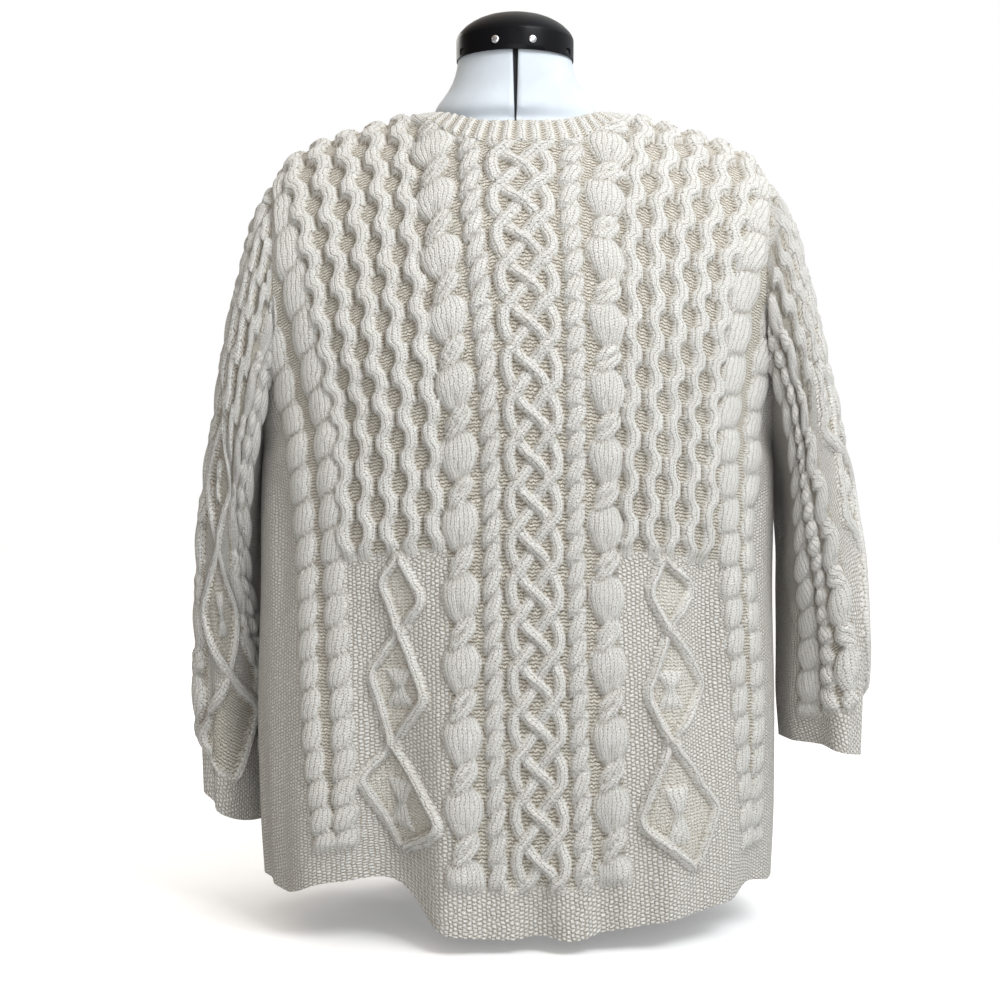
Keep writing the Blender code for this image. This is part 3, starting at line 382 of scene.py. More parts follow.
# ---------------------------------------------------------------- back
# The back panel, knitted flat in thick undyed wool with travelling cables over purled ground, then
# seamed at the shoulders, armholes and sides. It hangs from the form's shoulders in soft folds.
WALL = 0.004              # thickness of the knitted ground
SEAM_GAP = 0.00035
PANEL_LENGTH = 0.740      # down the middle, shoulder line to hem
PANEL_HALF = 0.288        # half width of the cloth below the armholes
HEM_BAND = 0.038          # moss stitch border
NECK_CORNER = 0.073       # cloth distance from the middle to the end of the shoulder seam
NECK_POWER = 2.6
UNDERARM = 16 / 36        # share of the length where the armhole ends
CABLE_RISE = 0.0066
WALE = 0.0037             # width of one column of stitches
COURSE = 0.0025           # height of one row of stitches
SECTION_POWER = 0.88
PLAIN_CREASE = 0.0010     # slight unevenness of hand knitting
BACK_FINE_ROWS = 276
FINE_REACH = 0.2190       # the fine columns go from the middle out to here
FINE_COLUMNS = 147
WIDE_COLUMNS = 20         # from there to the edge
PLAIN_STEP = 4            # the inner side takes every fourth row and column

WOOL_LIGHT = (0.765, 0.765, 0.742, 1.0)
# Painted warmer shade on the recessed purled ground:
WOOL_PURL_SHADE = (0.735, 0.690, 0.590, 1.0)
# Painted shade in the gaps and hollows of knit and purl stitches:
WOOL_SHADED = (0.230, 0.185, 0.125, 1.0)
# Painted paler light on the moss stitch:
WOOL_MOSS_LIT = (0.790, 0.785, 0.765, 1.0)
# Painted shade in the gaps and hollows of the moss stitch:
WOOL_MOSS_SHADE = (0.260, 0.220, 0.160, 1.0)

# Rows down a panel. share: part of its length; mid_y, mid_z: its middle; edge_x, edge_y, edge_z:
# its side edge, the armhole and then the side seam; turn: how far the section has turned there,
# in degrees; tip: how much of the drop comes at the very edge; half: half width of the cloth.
BACK_ROWS = {
    "share": (0, 0.05, 0.12, 0.2, 0.29, 0.37, 0.445, 0.6, 0.8, 1),
    "mid_y": (0, 0.036, 0.071, 0.098, 0.122, 0.134, 0.138, 0.138, 0.141, 0.146),
    "mid_z": (0.689, 0.681, 0.648, 0.599, 0.537, 0.479, 0.422, 0.308, 0.16, 0.012),
    "edge_x": (0.205, 0.207, 0.2035, 0.2, 0.204, 0.211, 0.2155, 0.2155, 0.2175, 0.213),
    "edge_y": (0, 0.028, 0.054, 0.07, 0.062, 0.037, 0, 0, 0, 0),
    "edge_z": (0.62, 0.603, 0.567, 0.518, 0.461, 0.414, 0.38, 0.288, 0.162, 0.04),
    "turn": (52, 52, 53, 56, 62, 74, 90, 90, 90, 90),
    "tip": (0.33, 0.2, 0.05, 0, 0, 0, 0, 0, 0, 0),
    "half": (0.165, 0.166, 0.17, 0.18, 0.2, 0.232, 0.28, 0.288, 0.288, 0.284),
    "shift": (0.005, 0.005, 0.004, 0.003, 0.003, 0.002, 0.002, 0.001, 0.001, 0.002),
}
# Folds, then shallower creases: cloth distance from the middle, how far it leans over on its way
# down, half width, the distances down where it starts, is deepest and has gone, its depth outwards,
# and how far it lifts the hem.
BACK_FOLDS = (
    (-0.104, 0.006, 0.044, 0.38, 0.76, 1.5, -0.026, 0.010),
    (-0.128, 0, 0.075, 0.56, 0.76, 1.5, 0, 0.026),
    (-0.170, 0, 0.034, 0.40, 0.76, 1.5, 0.008, 0),
    (-0.050, 0, 0.028, 0.44, 0.76, 1.5, 0.006, 0),
    (0.158, -0.006, 0.026, 0.36, 0.50, 0.68, -0.011, 0),
    (0.120, 0, 0.024, 0.50, 0.65, 0.9, 0.006, 0),
    (0.008, 0.006, 0.020, 0.64, 0.76, 1.5, -0.008, 0.002),
    (0.036, 0.006, 0.022, 0.64, 0.76, 1.5, 0.005, -0.003),
    (0.205, 0, 0.032, 0.56, 0.76, 1.5, -0.006, 0.006),
    (-0.150, 0.020, 0.022, 0.18, 0.30, 0.46, -0.003, 0),
    (0.150, -0.022, 0.022, 0.19, 0.31, 0.46, -0.003, 0),
    (-0.215, 0.010, 0.018, 0.33, 0.40, 0.56, -0.004, 0),
    (0.222, -0.012, 0.018, 0.33, 0.40, 0.54, -0.004, 0),
    (0.062, 0.004, 0.016, 0.56, 0.70, 1.5, -0.0035, 0),
    (0.100, 0.012, 0.020, 0.56, 0.72, 1.5, 0.003, 0),
    (-0.245, 0.006, 0.020, 0.50, 0.70, 1.5, -0.004, 0),
)
BACK_NECK = (0.137, 0.101)   # neck seam and free edge, as shares of the length at the middle


def smooth(at, known_at, known):
    """A curve through the known values that doesn't overshoot them."""
    known_at, known = np.array(known_at, float), np.array(known, float)
    at = np.clip(np.asarray(at, float), known_at[0], known_at[-1])
    step = np.diff(known) / np.diff(known_at)
    inner = step[:-1] * step[1:]
    middle = np.where(inner > 0, 2 * inner / (step[:-1] + step[1:] + 1e-12), 0)
    slope = np.concatenate([step[:1], middle, step[-1:]])
    place = np.clip(np.searchsorted(known_at, at, side="right") - 1, 0, len(known_at) - 2)
    span = known_at[place + 1] - known_at[place]
    t = (at - known_at[place]) / span
    start = (1 + 2 * t) * (1 - t) ** 2 * known[place] + t * (1 - t) ** 2 * span * slope[place]
    end = t * t * (3 - 2 * t) * known[place + 1] + t * t * (t - 1) * span * slope[place + 1]
    return start + end


def curve(table, at):
    """Every column of a table, each as a smooth curve over its first one."""
    names = list(table)
    return [smooth(at, table[names[0]], table[name]) for name in names[1:]]


def ramp(value, start, end):
    t = np.clip((value - start) / (end - start), 0, 1)
    return t * t * (3 - 2 * t)


class Panel:
    """The ground surface of the back (side -1) or the front (side 1), as a dense grid."""

    SHARES = 241
    PLACES = 321

    def __init__(self, rows, folds, side, neck):
        self.rows, self.side, self.neck = rows, side, neck
        self.shares = np.linspace(0, 1, self.SHARES)
        self.places = np.linspace(-1, 1, self.PLACES)
        points = np.array([self.section(share) for share in self.shares])
        across = self.half(self.shares)[:, None] * self.places[None, :]
        down = PANEL_LENGTH * self.shares[:, None]
        out, up = np.zeros(across.shape), np.zeros(across.shape)
        for at, lean, width, start, full, end, depth, lift in folds:
            grown = ramp(down, start, full)
            near = np.clip(np.abs(across - at - lean * grown) / width, 0, 1)
            bulge = (1 - near * near) ** 2 * grown * (1 - ramp(down, full, end))
            out += depth * bulge
            up += lift * bulge * grown
        inside = ramp(1 - np.abs(self.places), 0.0, 0.12)[None, :] * ramp(down, 0.03, 0.10)
        uneven = np.sin(31 * across + 2.1 * np.sin(9 * down)) * np.sin(23 * down + 1.7 * np.sin(17 * across))
        out += PLAIN_CREASE * uneven * inside
        points = points + self.slopes(points) * out[..., None]
        points[..., 2] += up
        self.points = points
        self.normals = self.slopes(points)

    def half(self, share):
        """Half width of the cloth at shares of the length."""
        return smooth(share, self.rows["share"], self.rows["half"])

    def section(self, share):
        """One row across the panel, its points spaced evenly along it."""
        mid_y, mid_z, edge_x, edge_y, edge_z, turn, tip, _, shift = map(float, curve(self.rows, share))
        turn = math.radians(turn)
        angle = np.linspace(0, turn, 480)
        reach = np.sin(angle) ** SECTION_POWER / math.sin(turn) ** SECTION_POWER
        last = max(math.cos(turn), 0.0) ** SECTION_POWER
        bow = (np.maximum(np.cos(angle), 0) ** SECTION_POWER - last) / (1 - last)
        soft = (np.sqrt(reach**2 + 0.09) - 0.3) / (math.sqrt(1.09) - 0.3)
        x = edge_x * reach
        y = edge_y + (mid_y - edge_y) * bow
        z = mid_z - (mid_z - edge_z) * ((1 - tip) * soft + tip * reach**16)
        run = np.concatenate([[0], np.cumsum(np.sqrt(np.diff(x) ** 2 + np.diff(y) ** 2 + np.diff(z) ** 2))])
        wanted = np.abs(self.places) * run[-1]
        x = np.interp(wanted, run, x) * np.sign(self.places) + shift
        y = self.side * (np.interp(wanted, run, y) + SEAM_GAP / 2)
        return np.stack([x, y, np.interp(wanted, run, z)], axis=-1)

    def slopes(self, points):
        """Outward normals. At the seams they lie in the seam's own plane."""
        normals = unit(np.cross(np.gradient(points, axis=0), np.gradient(points, axis=1))) * -self.side
        normals[0, :, 1] = 0
        below = self.shares > UNDERARM - 1e-6
        normals[below, 0, 1] = 0
        normals[below, -1, 1] = 0
        return unit(normals)

    def read(self, across, share):
        """Points and normals at cloth distances from the middle and shares of the length."""
        column_at = (np.clip(across / self.half(share), -1, 1) + 1) / 2 * (self.PLACES - 1)
        row_at = np.clip(share, 0, 1) * (self.SHARES - 1)
        i = np.minimum(row_at.astype(int), self.SHARES - 2)
        j = np.minimum(column_at.astype(int), self.PLACES - 2)
        v = (row_at - i)[..., None]
        u = (column_at - j)[..., None]
        return [(grid[i, j] * (1 - u) + grid[i, j + 1] * u) * (1 - v)
                + (grid[i + 1, j] * (1 - u) + grid[i + 1, j + 1] * u) * v
                for grid in (self.points, self.normals)]

    def top_share(self, across, edge=0, corner=NECK_CORNER):
        """Where the panel starts: at the shoulder line, or lower at the neck's edge."""
        inside = np.clip(np.abs(across) / corner, 0, 1)
        return self.neck[edge] * (1 - inside**NECK_POWER)


# Cables of the panels, as distances from the middle line in cloth.
PLAIT_STEP = 0.01735      # height of one crossing
PLAIT_PLACES = (0.0, 0.0080, 0.0125, 0.0165, 0.0185, 0.0175, 0.0110, 0.0050)   # a cord, every half step
PLAIT_LEVELS = (1.15, 0.45, 0.95, 1.12, 0.40)    # its height at each step, over and under in turn
PLAIT_SHIFT = 0.726
PLAIT_HALF = 0.0045
ROPE_AT = 0.0325
ROPE_REACH = 0.0034       # how far a strand swings to either side
ROPE_HALF = 0.0062
ROPE_REPEAT = 0.0205
EGG_AT = 0.0565
EGG_HALF = 0.0145
EGG_TALL = 0.0210
EGG_REPEAT = 0.0557
EGG_FIRST = 0.0312        # the middle of the first one
EGG_NECKS = ((-0.0045, 0.024, 0.0050, 0.0056), (0.0045, 0.030, 0.0068, 0.0058))
COMB_START = 0.0670       # honeycomb between these two lines
COMB_STOP = 0.1560
COMB_CORDS = 5
COMB_REPEAT = 0.0366
COMB_END = 0.437          # where the honeycomb gives way to the diamonds
OVALS_AT = (0.1625, 0.1915)
OVAL_REACH = 0.0024
OVAL_HALF = 0.0112
# Down a panel the two chains of ovals drift to the right and draw together, and their crossings
# come closer. "count" is how many ovals lie above.
OVAL_CHAINS = {
    "down": (0, 0.097, 0.32, 0.43, 0.575, 0.68, 0.74),
    "right": (0, 0, 0.0025, 0.006, 0.0135, 0.0195, 0.0225),
    "closer": (0, 0, 0, 0.004, 0.005, 0.013, 0.015),
    "count": (-2.45, 0, 5.3, 8.7, 14.1, 18, 20.2),
}
# Diamonds on the left (-1) and right (1), from one crossing or widest place to the next: how far
# down the inner cord is there, and how far from the middle line; then the same of the outer cord.
DIAMONDS = {
    -1: (
        (0.440, 0.477, 0.501, 0.556, 0.598, 0.656, 0.703),
        (0.1045, 0.0860, 0.1060, 0.0850, 0.1160, 0.0730, 0.1125),
        (0.440, 0.459, 0.501, 0.534, 0.598, 0.628, 0.703),
        (0.1045, 0.1200, 0.1060, 0.1310, 0.1160, 0.1400, 0.1125),
    ),
    1: (
        (0.440, 0.469, 0.499, 0.552, 0.592, 0.656, 0.703),
        (0.1045, 0.0915, 0.1080, 0.0872, 0.1055, 0.0780, 0.1250),
        (0.440, 0.461, 0.499, 0.544, 0.592, 0.651, 0.703),
        (0.1045, 0.1330, 0.1080, 0.1440, 0.1055, 0.1500, 0.1250),
    ),
}
DIAMOND_CORD_HALF = 0.0038
DIAMOND_MOSS = 0.3        # inside a diamond the moss stitch is slight
# Bow ties inside the diamonds: distance from the middle line, distance down, half height.
BOW_TIES = ((0.1090, 0.652, 0.025), (0.1070, 0.548, 0.016))
# The pattern drifts to the wearer's right as it hangs.
DRIFT = {"down": (0, 0.155, 0.21, 0.33, 0.56, 0.74), "right": (0, 0, 0.0035, 0.01, 0.0145, 0.018)}


def rounded(near, power=2.3):
    return np.sqrt(np.clip(1 - np.abs(near) ** power, 0, 1))


class Relief:
    """Raised strands over a purled ground: the highest strand at each point is the one that shows."""

    def __init__(self, across, down):
        self.across, self.down = across, down
        self.rise = np.zeros(across.shape)
        self.second = np.zeros(across.shape)
        self.purl = np.ones(across.shape)
        self.moss = np.zeros(across.shape)
        self.strand = np.zeros(across.shape, int)
        self.wales = [across / WALE]
        self.courses = [down / COURSE]

    def lay(self, height, wale):
        """Adds a strand by its height, and its own count of stitches across it."""
        number = len(self.wales)
        self.wales.append(wale)
        self.courses.append(self.down / COURSE)
        above = height > self.rise + 1e-6
        self.second = np.where(above, self.rise, np.maximum(self.second, height))
        self.rise = np.where(above, height, self.rise)
        self.strand = np.where(above, number, self.strand)
        self.purl = np.where(height > 0.10, 0.0, self.purl)

    def lay_round(self, near, half, level):
        """Adds a round strand by the distance from its own line."""
        self.lay(level * rounded(near / half), near / WALE + 0.5)

    def lay_cord(self, place, level, half):
        """Adds a travelling cord two stitches wide, measured square to its own line."""
        slope = np.gradient(place, axis=0) / np.maximum(np.gradient(self.down, axis=0), 1e-9)
        self.lay_round((self.across - place) / np.sqrt(1 + slope**2), half, level)

    def seams(self):
        """Where two strands lie side by side at nearly the same height."""
        return np.clip(1 - (self.rise - self.second) / 0.16, 0, 1) * ramp(self.second, 0.12, 0.30)


def lay_plait(relief):
    """Four cords, each going over and under the others in turn."""
    places = np.concatenate([PLAIT_PLACES, [0], -np.array(PLAIT_PLACES[:0:-1]), [0]])
    levels = PLAIT_LEVELS + PLAIT_LEVELS[3:0:-1] + PLAIT_LEVELS[:1]
    for cord in range(4):
        phase = (relief.down / PLAIT_STEP + 2 * cord + PLAIT_SHIFT) % 8
        place, level = smooth(phase, np.arange(17) / 2, places), smooth(phase, np.arange(9), levels)
        relief.lay_cord(place, level, PLAIT_HALF)


def lay_bead(relief, centre, start, length, reach, half, height, narrow=0.5):
    """One strand where it crosses from right to left on top, and dips under at both ends."""
    part = np.clip((relief.down - start) / length, 0, 1)
    swell = np.sin(math.pi * part)
    slope = -reach * math.pi * swell / length
    near = (relief.across - centre - reach * np.cos(math.pi * part)) / np.sqrt(1 + slope**2)
    level = height * (0.25 + 0.75 * swell**0.6) * (part > 0) * (part < 1)
    relief.lay_round(near / (narrow + (1 - narrow) * swell**0.75), half, level)


def lay_twist(relief, centre, reach, half, repeat, shift=0.0, height=1.0, length=1.55):
    """A two-strand rope, as a chain of crossings."""
    count = np.floor((relief.down + shift) / repeat)
    for ahead in (-1, 0, 1):
        start = (count + ahead - (length - 1) / 2) * repeat - shift
        lay_bead(relief, centre, start, repeat * length, reach, half, height)


def lay_ovals(relief, side, number):
    """A chain of pointed ovals, each crossing over the next, and how far out its edge lies."""
    right, closer, count = curve(OVAL_CHAINS, relief.down)
    centre = side * (OVALS_AT[number] + closer * (0.5 - number)) + right
    count = count - 0.12 * number
    half = OVAL_HALF * (1 - 0.26 * ramp(relief.down, 0.36, 0.60))
    for ahead in (-1, 0, 1):
        part = np.clip((count - np.floor(count) - ahead + 0.18) / 1.36, 0, 1)
        swell = np.sin(math.pi * part)
        near = (relief.across - centre - OVAL_REACH * np.cos(math.pi * part)) / (0.50 + 0.50 * swell**0.8)
        relief.lay_round(near, half, 0.90 * (0.25 + 0.75 * swell**0.6) * (part > 0) * (part < 1))
    return side * centre + half


def lay_eggs(relief, centre):
    """Round swellings with their wales bowed round them, between short crossed necks."""
    near = relief.across - centre
    down = relief.down - EGG_FIRST
    off = down - np.floor(down / EGG_REPEAT + 0.5) * EGG_REPEAT
    part = off / EGG_TALL + 0.18
    part = np.clip(np.where(part < 0, part / 0.82, part / 1.18), -1, 1)
    swell = np.where(part < 0, (1 - part**2) ** 0.55, (1 - np.abs(part) ** 1.6) ** 0.85)
    width = EGG_HALF * (0.26 + 0.78 * swell)
    dimple = np.exp(-(((off - 0.009) / 0.004) ** 2) - ((near + 0.001) / 0.0022) ** 2)
    level = (1.14 - 0.35 * dimple) * (0.45 + 0.55 * swell) * (np.abs(off) < EGG_TALL)
    relief.lay(level * rounded(near / width, 2.4), near / width * 4.4)
    neck = (np.floor(down / EGG_REPEAT) + 0.5) * EGG_REPEAT + EGG_FIRST
    for over, long, reach, half in EGG_NECKS:
        lay_bead(relief, centre, neck + over - long / 2, long, reach, half, 1.08, 0.7)


def comb_gap(down, number):
    """How far a honeycomb's eyes open to either side of the ladder between two cords."""
    count = down / COMB_REPEAT + 0.5 * (number % 2) + 0.13
    part = (count - np.floor(count) - 0.5) / 0.30
    eye = np.clip(1 - np.abs(part) ** 2.2, 0, 1) ** 0.7
    return 0.0011 + 0.0038 * eye, 0.0011 + 0.0052 * eye


def lay_comb(relief, across, width, end, cords):
    """Honeycomb: wide cords that bow round eyes, which stand a half repeat apart in turn."""
    step = width / cords
    wide = step * COMB_CORDS / (COMB_STOP - COMB_START)
    fade = 1 - ramp(relief.down, end - 0.010, end + 0.006)
    for cord in range(cords):
        left = step * cord + comb_gap(relief.down, cord)[0] * wide
        right = step * (cord + 1) - comb_gap(relief.down, cord + 1)[1] * wide
        near, half = across - (left + right) / 2, (right - left) / 2
        relief.lay(1.05 * rounded(near / half, 3.0) * fade, near / half * 1.5 * wide)


def lay_diamonds(relief, side):
    """Two cords that part and cross down the panel. The one that goes right lies on top."""
    down = relief.down
    inner_down, inner, outer_down, outer = DIAMONDS[side]
    crossings = inner_down[::2]
    first_down, last_down = crossings[0], crossings[-1]
    ends = ramp(down, first_down - 0.012, first_down) * (1 - ramp(down, last_down, last_down + 0.006))
    steps = np.linspace(-0.006, 0.006, 5)
    low = np.mean([np.interp(down + step, inner_down, inner) for step in steps], axis=0)
    high = np.mean([np.interp(down + step, outer_down, outer) for step in steps], axis=0)
    number = np.searchsorted(crossings, down) % 2
    for first in (0, 1):
        height = np.full(down.shape, 0.90)
        for k, crossing in enumerate(crossings[1:-1]):
            goes_right = ((k + 1) % 2 == first) == (side > 0)
            near = np.clip(1 - np.abs(down - crossing) / 0.014, 0, 1)
            height = height + ((1.12 if goes_right else 0.50) - 0.90) * ramp(near, 0.0, 0.7)
        relief.lay_cord(side * np.where(number == first, low, high), height * ends, DIAMOND_CORD_HALF)
    size = relief.across * side
    return (size > low + 0.003) & (size < high - 0.003) & (down > first_down) & (down < last_down)


def lay_bow_tie(relief, middle, down, tall):
    """A small cable: two fans of wales joined by one crossing."""
    across = relief.across - middle
    part = (relief.down - down) / tall
    width = 0.0035 + 0.0085 * np.abs(part) ** 0.8
    inside = np.clip(1 - np.abs(part) ** 6, 0, 1) * (np.abs(part) < 1)
    groove = np.exp(-((part * 3.2 + across * 260) / 0.35) ** 2) * np.exp(-(part / 0.3) ** 2)
    relief.lay(0.62 * rounded(across / width, 3.0) * inside * (1 - 0.4 * groove), across / width * 2.0)


def finish_edge(relief, moss, band):
    """Leaves the edge band plain, and turns it and the plain fields to moss stitch."""
    relief.rise = relief.rise * (1 - band)
    relief.strand = np.where(band > 0.5, 0, relief.strand)
    relief.moss = np.maximum(moss * (relief.rise < 0.06), band)
    relief.purl = relief.purl * (1 - relief.moss)
    return relief


def knit_panel(relief):
    """Every cable of a panel, from its middle line outwards."""
    across, down = relief.across, relief.down
    lay_plait(relief)
    moss = np.zeros(across.shape)
    for side in (-1, 1):
        size = across * side
        lay_twist(relief, side * ROPE_AT, ROPE_REACH, ROPE_HALF, ROPE_REPEAT, 0.004 * side, 0.95)
        lay_eggs(relief, side * EGG_AT)
        lay_comb(relief, size - COMB_START, COMB_STOP - COMB_START, COMB_END, COMB_CORDS)
        within = lay_diamonds(relief, side)
        for middle, at, tall in BOW_TIES:
            lay_bow_tie(relief, side * middle, at, tall)
        inner, edge = [lay_ovals(relief, side, number) for number in (0, 1)]
        beside = (size > COMB_START - 0.001) & (size < inner - 0.012) & (down > COMB_END)
        moss = np.maximum(moss, beside * np.where(within, DIAMOND_MOSS, 1.0))
        moss = np.maximum(moss, ramp(size - edge, 0.0, 0.002))
    relief.rise = relief.rise - 0.20 * relief.seams()
    band = ramp(down, PANEL_LENGTH - HEM_BAND - 0.006, PANEL_LENGTH - HEM_BAND + 0.006)
    return finish_edge(relief, moss, band)


def smoothed(values, times):
    """Values evened out over their neighbours."""
    for _ in range(times):
        padded = np.pad(values, 1, mode="edge")
        values = (padded[:-2, 1:-1] + padded[2:, 1:-1] + padded[1:-1, :-2] + padded[1:-1, 2:]) / 4
    return values


def knit_shell(name, ground, normals, relief, lift, closed):
    """A thin shell of wool: the raised outside, a plain inside with fewer points, and its rims."""
    outer = ground + normals * lift[..., None]
    inner = (ground - normals * WALL)[::PLAIN_STEP, ::PLAIN_STEP]
    numbers = np.arange(lift.size).reshape(lift.shape)
    grids = [numbers, lift.size + np.arange(inner.size // 3).reshape(inner.shape[:2])]
    if closed:
        grids = [np.concatenate([grid, grid[:, :1]], axis=1) for grid in grids]
    faces = []
    for grid in grids:
        quads = np.stack([grid[:-1, :-1], grid[:-1, 1:], grid[1:, 1:], grid[1:, :-1]], axis=-1)
        faces += quads.reshape(-1, 4).tolist()
    edges = [[grid[0] for grid in grids], [grid[-1] for grid in grids]]
    if not closed:
        edges += [[grid[:, 0] for grid in grids], [grid[:, -1] for grid in grids]]
    for fine, plain in edges:
        for k in range(len(plain) - 1):
            span = fine[PLAIN_STEP * k: PLAIN_STEP * (k + 1) + 1].tolist()
            half = len(span) // 2
            faces.append(span[: half + 1] + [int(plain[k])])
            faces.append(span[half:] + [int(plain[k + 1]), int(plain[k])])
    mesh = bpy.data.meshes.new(name)
    mesh.from_pydata(np.concatenate([outer.reshape(-1, 3), inner.reshape(-1, 3)]).tolist(), [], faces)
    source = np.concatenate([numbers.ravel(), numbers[::PLAIN_STEP, ::PLAIN_STEP].ravel()])
    add_stitch_map(mesh, relief, source, closed)
    shape = bmesh.new()
    shape.from_mesh(mesh)
    bmesh.ops.recalc_face_normals(shape, faces=shape.faces)
    made = place_mesh(mesh, shape, name, wool)
    mesh.set_sharp_from_angle(angle=math.radians(75))
    return made


def read_all(items, name):
    values = np.zeros(len(items), int)
    items.foreach_get(name, values)
    return values


def add_stitch_map(mesh, relief, source, closed):
    """Counts of stitches across and along at each face corner, and the masks at each point.

    A face takes the count of the strand that is highest among its corners, so that the stitches of
    one strand stay whole up to its edge. "source" is the outer point that each point is made from.
    """
    corner = read_all(mesh.loops, "vertex_index")
    starts = read_all(mesh.polygons, "loop_start")
    totals = read_all(mesh.polygons, "loop_total")
    is_outer = corner < relief.rise.size
    i, j = np.divmod(source[corner], relief.rise.shape[1])
    face = np.repeat(np.arange(len(starts)), totals)
    order = np.lexsort((np.where(is_outer, relief.rise[i, j], -1.0), face))
    highest = order[np.cumsum(totals) - 1]
    strand = np.where(is_outer[highest], relief.strand[i[highest], j[highest]], 0)
    strand = np.repeat(strand, totals)
    u, v = np.stack(relief.wales)[strand, i, j], np.stack(relief.courses)[strand, i, j]
    if closed:
        girth = relief.girth_wales[i]
        first = np.repeat(u[starts], totals)
        u = u - girth * np.round((u - first) / np.maximum(girth, 1))
    layer = mesh.uv_layers.new(name="stitches")
    layer.data.foreach_set("uv", np.stack([u, v], axis=-1).astype(np.float32).ravel())
    # hollow: a mask of painted shade. It is deepest where a point lies below its neighbours and along the
    # seams between strands, slight on the low ground and less on moss stitch, and even over the inside.
    low = smoothed(relief.rise, 4)
    hollow = np.clip((low - relief.rise) * 2.6, 0, 1) * 0.80 + 0.10 * (relief.rise < 0.08)
    hollow = np.maximum(hollow, relief.seams() * 0.8) * (1 - 0.8 * relief.moss)
    masks = {"purl": (relief.purl, 1.0), "moss": (relief.moss, 0.0), "hollow": (hollow, 0.3)}
    for label, (values, inside) in masks.items():
        attribute = mesh.attributes.new(label, "FLOAT", "POINT")
        full = np.concatenate([values.ravel(), np.full(len(source) - values.size, inside)])
        attribute.data.foreach_set("value", full.astype(np.float32))


def wave(tree, count, often=1.0, kind="SINE"):
    """From 0 at each whole number of a count of stitches to 1 halfway between, or a cosine's turn."""
    return calc(tree, "ABSOLUTE", calc(tree, kind, calc(tree, "MULTIPLY", count, often * math.pi)))


def mix(tree, factor, first, second):
    return node(tree, "ShaderNodeMix", {0: factor, 2: first, 3: second}).outputs[0]


def make_wool_stitches():
    """Relief and depth of knit, purl and moss stitches in spun wool, from counts of stitches. The depth is
    painted as shade in the gaps.
    """
    tree, given, out = new_group(
        "wool_stitches", {"Purl": 0.0, "Moss": 0.0}, ("Height", "Depth", "Fibre", "Patches"))
    solid = object_place(tree)
    counts = node(tree, "ShaderNodeUVMap", uv_map="stitches").outputs["UV"]
    moved = noise(tree, solid, 160.0, 1.0, "Color")
    sway = (("SUBTRACT", 1, (0.5, 0.5, 0.5)), ("SCALE", "Scale", 1.05), ("ADD", 1, counts))
    for operation, label, value in sway:
        moved = node(tree, "ShaderNodeVectorMath", {0: moved, label: value}, operation=operation).outputs[0]
    parts = split(tree, moved)
    wale, course = parts["X"], parts["Y"]
    off = calc(tree, "ABSOLUTE", calc(tree, "SUBTRACT", calc(tree, "FRACT", wale), 0.5))
    legs = wave(tree, calc(tree, "MULTIPLY_ADD", off, 1.3, course))
    open_wale = spread(tree, wave(tree, wale), 0.0, 0.70, 1.10, 0.0)
    open_centre = spread(tree, wave(tree, wale, kind="COSINE"), 0.0, 0.32, 0.45, 0.0)
    open_leg = spread(tree, legs, 0.0, 0.75, 1.0, 0.38)
    dash = calc(tree, "MULTIPLY", calc(tree, "MAXIMUM", open_wale, open_centre), open_leg)
    dash = calc(tree, "MAXIMUM", dash, spread(tree, legs, 0.0, 0.5, 0.42, 0.0))
    rows = wave(tree, calc(tree, "MULTIPLY_ADD", off, 0.9, course), 0.85)
    loops = wave(tree, calc(tree, "MULTIPLY_ADD", calc(tree, "FLOOR", course), 0.5, wale))
    purl = calc(tree, "MULTIPLY", spread(tree, rows, 0.0, 0.8), spread(tree, loops, 0.0, 0.5, 0.60))
    tall = calc(tree, "MULTIPLY", course, 0.76)
    across = calc(tree, "MULTIPLY", wale, 1.06)
    along = wave(tree, calc(tree, "MULTIPLY_ADD", calc(tree, "FLOOR", across), 0.5, tall))
    seed = spread(tree, calc(tree, "MULTIPLY", wave(tree, across), along), 0.0, 0.80, 0.15)
    height = mix(tree, given["Purl"], calc(tree, "SUBTRACT", 1.0, dash), purl)
    height = mix(tree, given["Moss"], height, seed)
    fibre = noise(tree, solid, 1000.0, 3.0)
    feed(tree, out, Height=calc(tree, "MULTIPLY_ADD", fibre, 0.70, height), Fibre=fibre,
         Depth=spread(tree, height, 0.10, 0.85, 1.0, 0.0),
         Patches=spread(tree, noise(tree, solid, 14.0, 3.0), 0.3, 0.7))


# Thick undyed wool: pale on the crests, with painted shade in the gaps between stitches and in the hollows
# between strands, and a soft bloom of fibres.
make_wool_stitches()
wool, tree, shader = new_finish("wool", 0.92, Sheen_Weight=0.30, Sheen_Roughness=0.55,
                                Sheen_Tint=(1.0, 0.97, 0.92, 1.0))
masks = {label: node(tree, "ShaderNodeAttribute", attribute_name=label.lower()).outputs["Fac"]
         for label in ("Purl", "Moss", "Hollow")}
stitches = use_group(tree, "wool_stitches", Purl=masks["Purl"], Moss=masks["Moss"])
# Painted shade in the gaps between stitches and in the hollows, with a speckle of fibres and patches of
# tone.
gap_shade_and_speckle = calc(tree, "MULTIPLY", stitches["Depth"], spread(tree, masks["Moss"], 0.0, 1.0, 0.72, 0.60))
gap_shade_and_speckle = calc(tree, "MULTIPLY_ADD", masks["Hollow"], 0.34, gap_shade_and_speckle)
gap_shade_and_speckle = calc(tree, "MULTIPLY_ADD", spread(tree, stitches["Fibre"], 0.35, 0.65, 1.0, 0.0), 0.36, gap_shade_and_speckle)
gap_shade_and_speckle = calc(tree, "MULTIPLY_ADD", stitches["Patches"], 0.06, gap_shade_and_speckle, clamp=True)
# The purled ground between the cables takes painted warmer shade.
yarn_and_painted_light = blend_colour(tree, calc(tree, "MULTIPLY", masks["Purl"], 0.75), WOOL_LIGHT, WOOL_PURL_SHADE)
